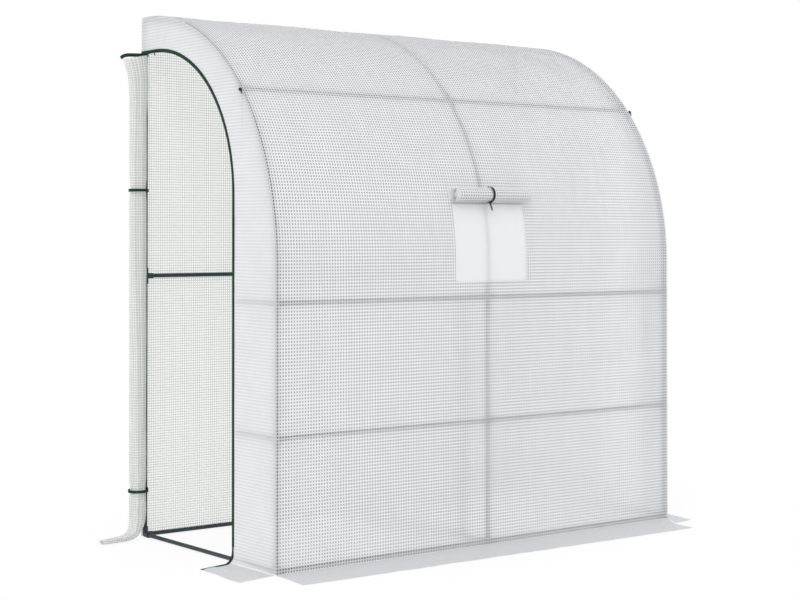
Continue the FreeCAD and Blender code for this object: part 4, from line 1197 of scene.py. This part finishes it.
def addWindowTie(values):
    middle = middleRib + values["fromRib"]
    radius = rollValues["outer"] + values["offRoll"]
    turn = np.linspace(*np.radians(values["ring"]), 90)
    y, z = rollPlace(rollValues, radius * np.cos(turn), radius * np.sin(turn))
    path = stacked(middle, y, z)
    centre = np.array([middle, *rollPlace(rollValues, 0, 0)])
    ring = addSweep("ring", path, path - centre, bandSection(*values["ringBand"]))
    knotTurn, out = math.radians(values["knotAngle"]), radius + values["knotOut"]
    knotY, knotZ = rollPlace(rollValues, out * math.cos(knotTurn), out * math.sin(knotTurn))
    place = np.array([middle + values["knotAside"], knotY, knotZ])
    lump = np.linspace(0, math.pi, 12)
    shape = stacked(values["knotHalf"] * np.cos(lump), values["knotDip"] * np.sin(lump), 0)
    section = roundSection(values["knotRadius"], 10) * swollen(lump, 0.02)[:, None, None]
    knot = addSweep("knot", place + shape, (0, 0, 1), section)
    hang = smoothThrough(place + values["end"], 26)
    end = addSweep("end", hang, (0.4, -1, 0), bandSection(*values["endBand"]))
    tie = joinPieces("window_tie_band", [ring, knot, end])
    dress(tie, tieMaterial, "window_flap")
    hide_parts("window_tie")


addWindowTie(windowTieValues)
print("right door and window roll done")


# Webbing ties knotted through the cover's edge: a lump with two short ends that curve down, and on
# the left a long end that hangs inside the film and sways by a sine

tieValues = {
    "sideKnots": ((-0.9455, -0.1436, 1.7688), (1.0815, -0.1436, 1.7688)),
    "topKnots": ((-0.033, 0.6085, 2.1093), (0.798, 0.6085, 2.1093)),
    "radius": 0.0062, "out": 0.004, "bulge": 0.0012, "uneven": 0.12,
    "stub": 0.014, "stubStart": 0.003, "stubOut": 0.0015, "band": (0.005, 0.0012),
    "tailPlace": (-0.9424, -0.144), "tail": (1.765, 1.604), "sway": 0.002,
}


def addKnot(place, out, across, fall, values):  # fall is how far a short end curves down, in its lengths
    out, across = np.array(out, float), np.array(across, float)
    centre = np.array(place) + out * values["out"]
    turn = np.linspace(0, math.pi, 16)[:, None]
    path = centre + across * np.cos(turn) * values["radius"] + out * np.sin(turn) * values["bulge"]
    swell = values["radius"] * swollen(turn, 0.03) * (1 + values["uneven"] * np.cos(turn * 7))
    pieces = [addSweep("lump", path, out, roundSection(1, 14) * swell[:, :, None])]
    run = np.linspace(0, 1, 9)[:, None]
    for side in (-1, 1):
        stub = centre + side * across * (values["stubStart"] + values["stub"] * run * 0.6)
        stub = stub + out * values["stubOut"] - np.array([0.0, 0.0, fall]) * values["stub"] * run ** 2
        pieces.append(addSweep("stub", stub, out, bandSection(*values["band"])))
    return pieces


def addCoverTies(values):
    pieces = []
    for place in values["sideKnots"]:
        pieces += addKnot(place, (np.sign(place[0]), 0, 0), (0, 0.8, 0.6), 0.7, values)
    for place in values["topKnots"]:
        pieces += addKnot(place, (0, 0, 1), (1, 0, 0), 0.25, values)
    x, y = values["tailPlace"]
    down = np.linspace(*values["tail"], 60)
    sway = values["sway"] * np.sin(9 * (down - down[0]))
    tail = addSweep("tail", stacked(x, y + sway, down), (1, 0, 0), bandSection(*values["band"]))
    pieces.append(tail)
    ties = joinPieces("cover_tie_bands", pieces)
    dress(ties, tieMaterial)
    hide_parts("cover_ties")


addCoverTies(tieValues)
print("ties done")


# Tubes, fittings and zip metal keep their shapes and take a finish, found by the ends of their names

tubeEndings = ("_post_lower", "_post_upper", "_arch", "_rail", "_purlin", "_stay", "_stays", "_brace_post")
finishes = (
    (tubeEndings, tubeMaterial), (("_fittings",), fittingMaterial), (("_slider", "_pull"), metalMaterial),
)
for endings, material in finishes:
    names = [name for name in frame["nodes"] if name.endswith(endings)]
    for name in names:
        node = frame["nodes"][name]
        node.data.materials.clear()
        node.data.materials.append(material)
    print(len(names), "nodes take", material.name)
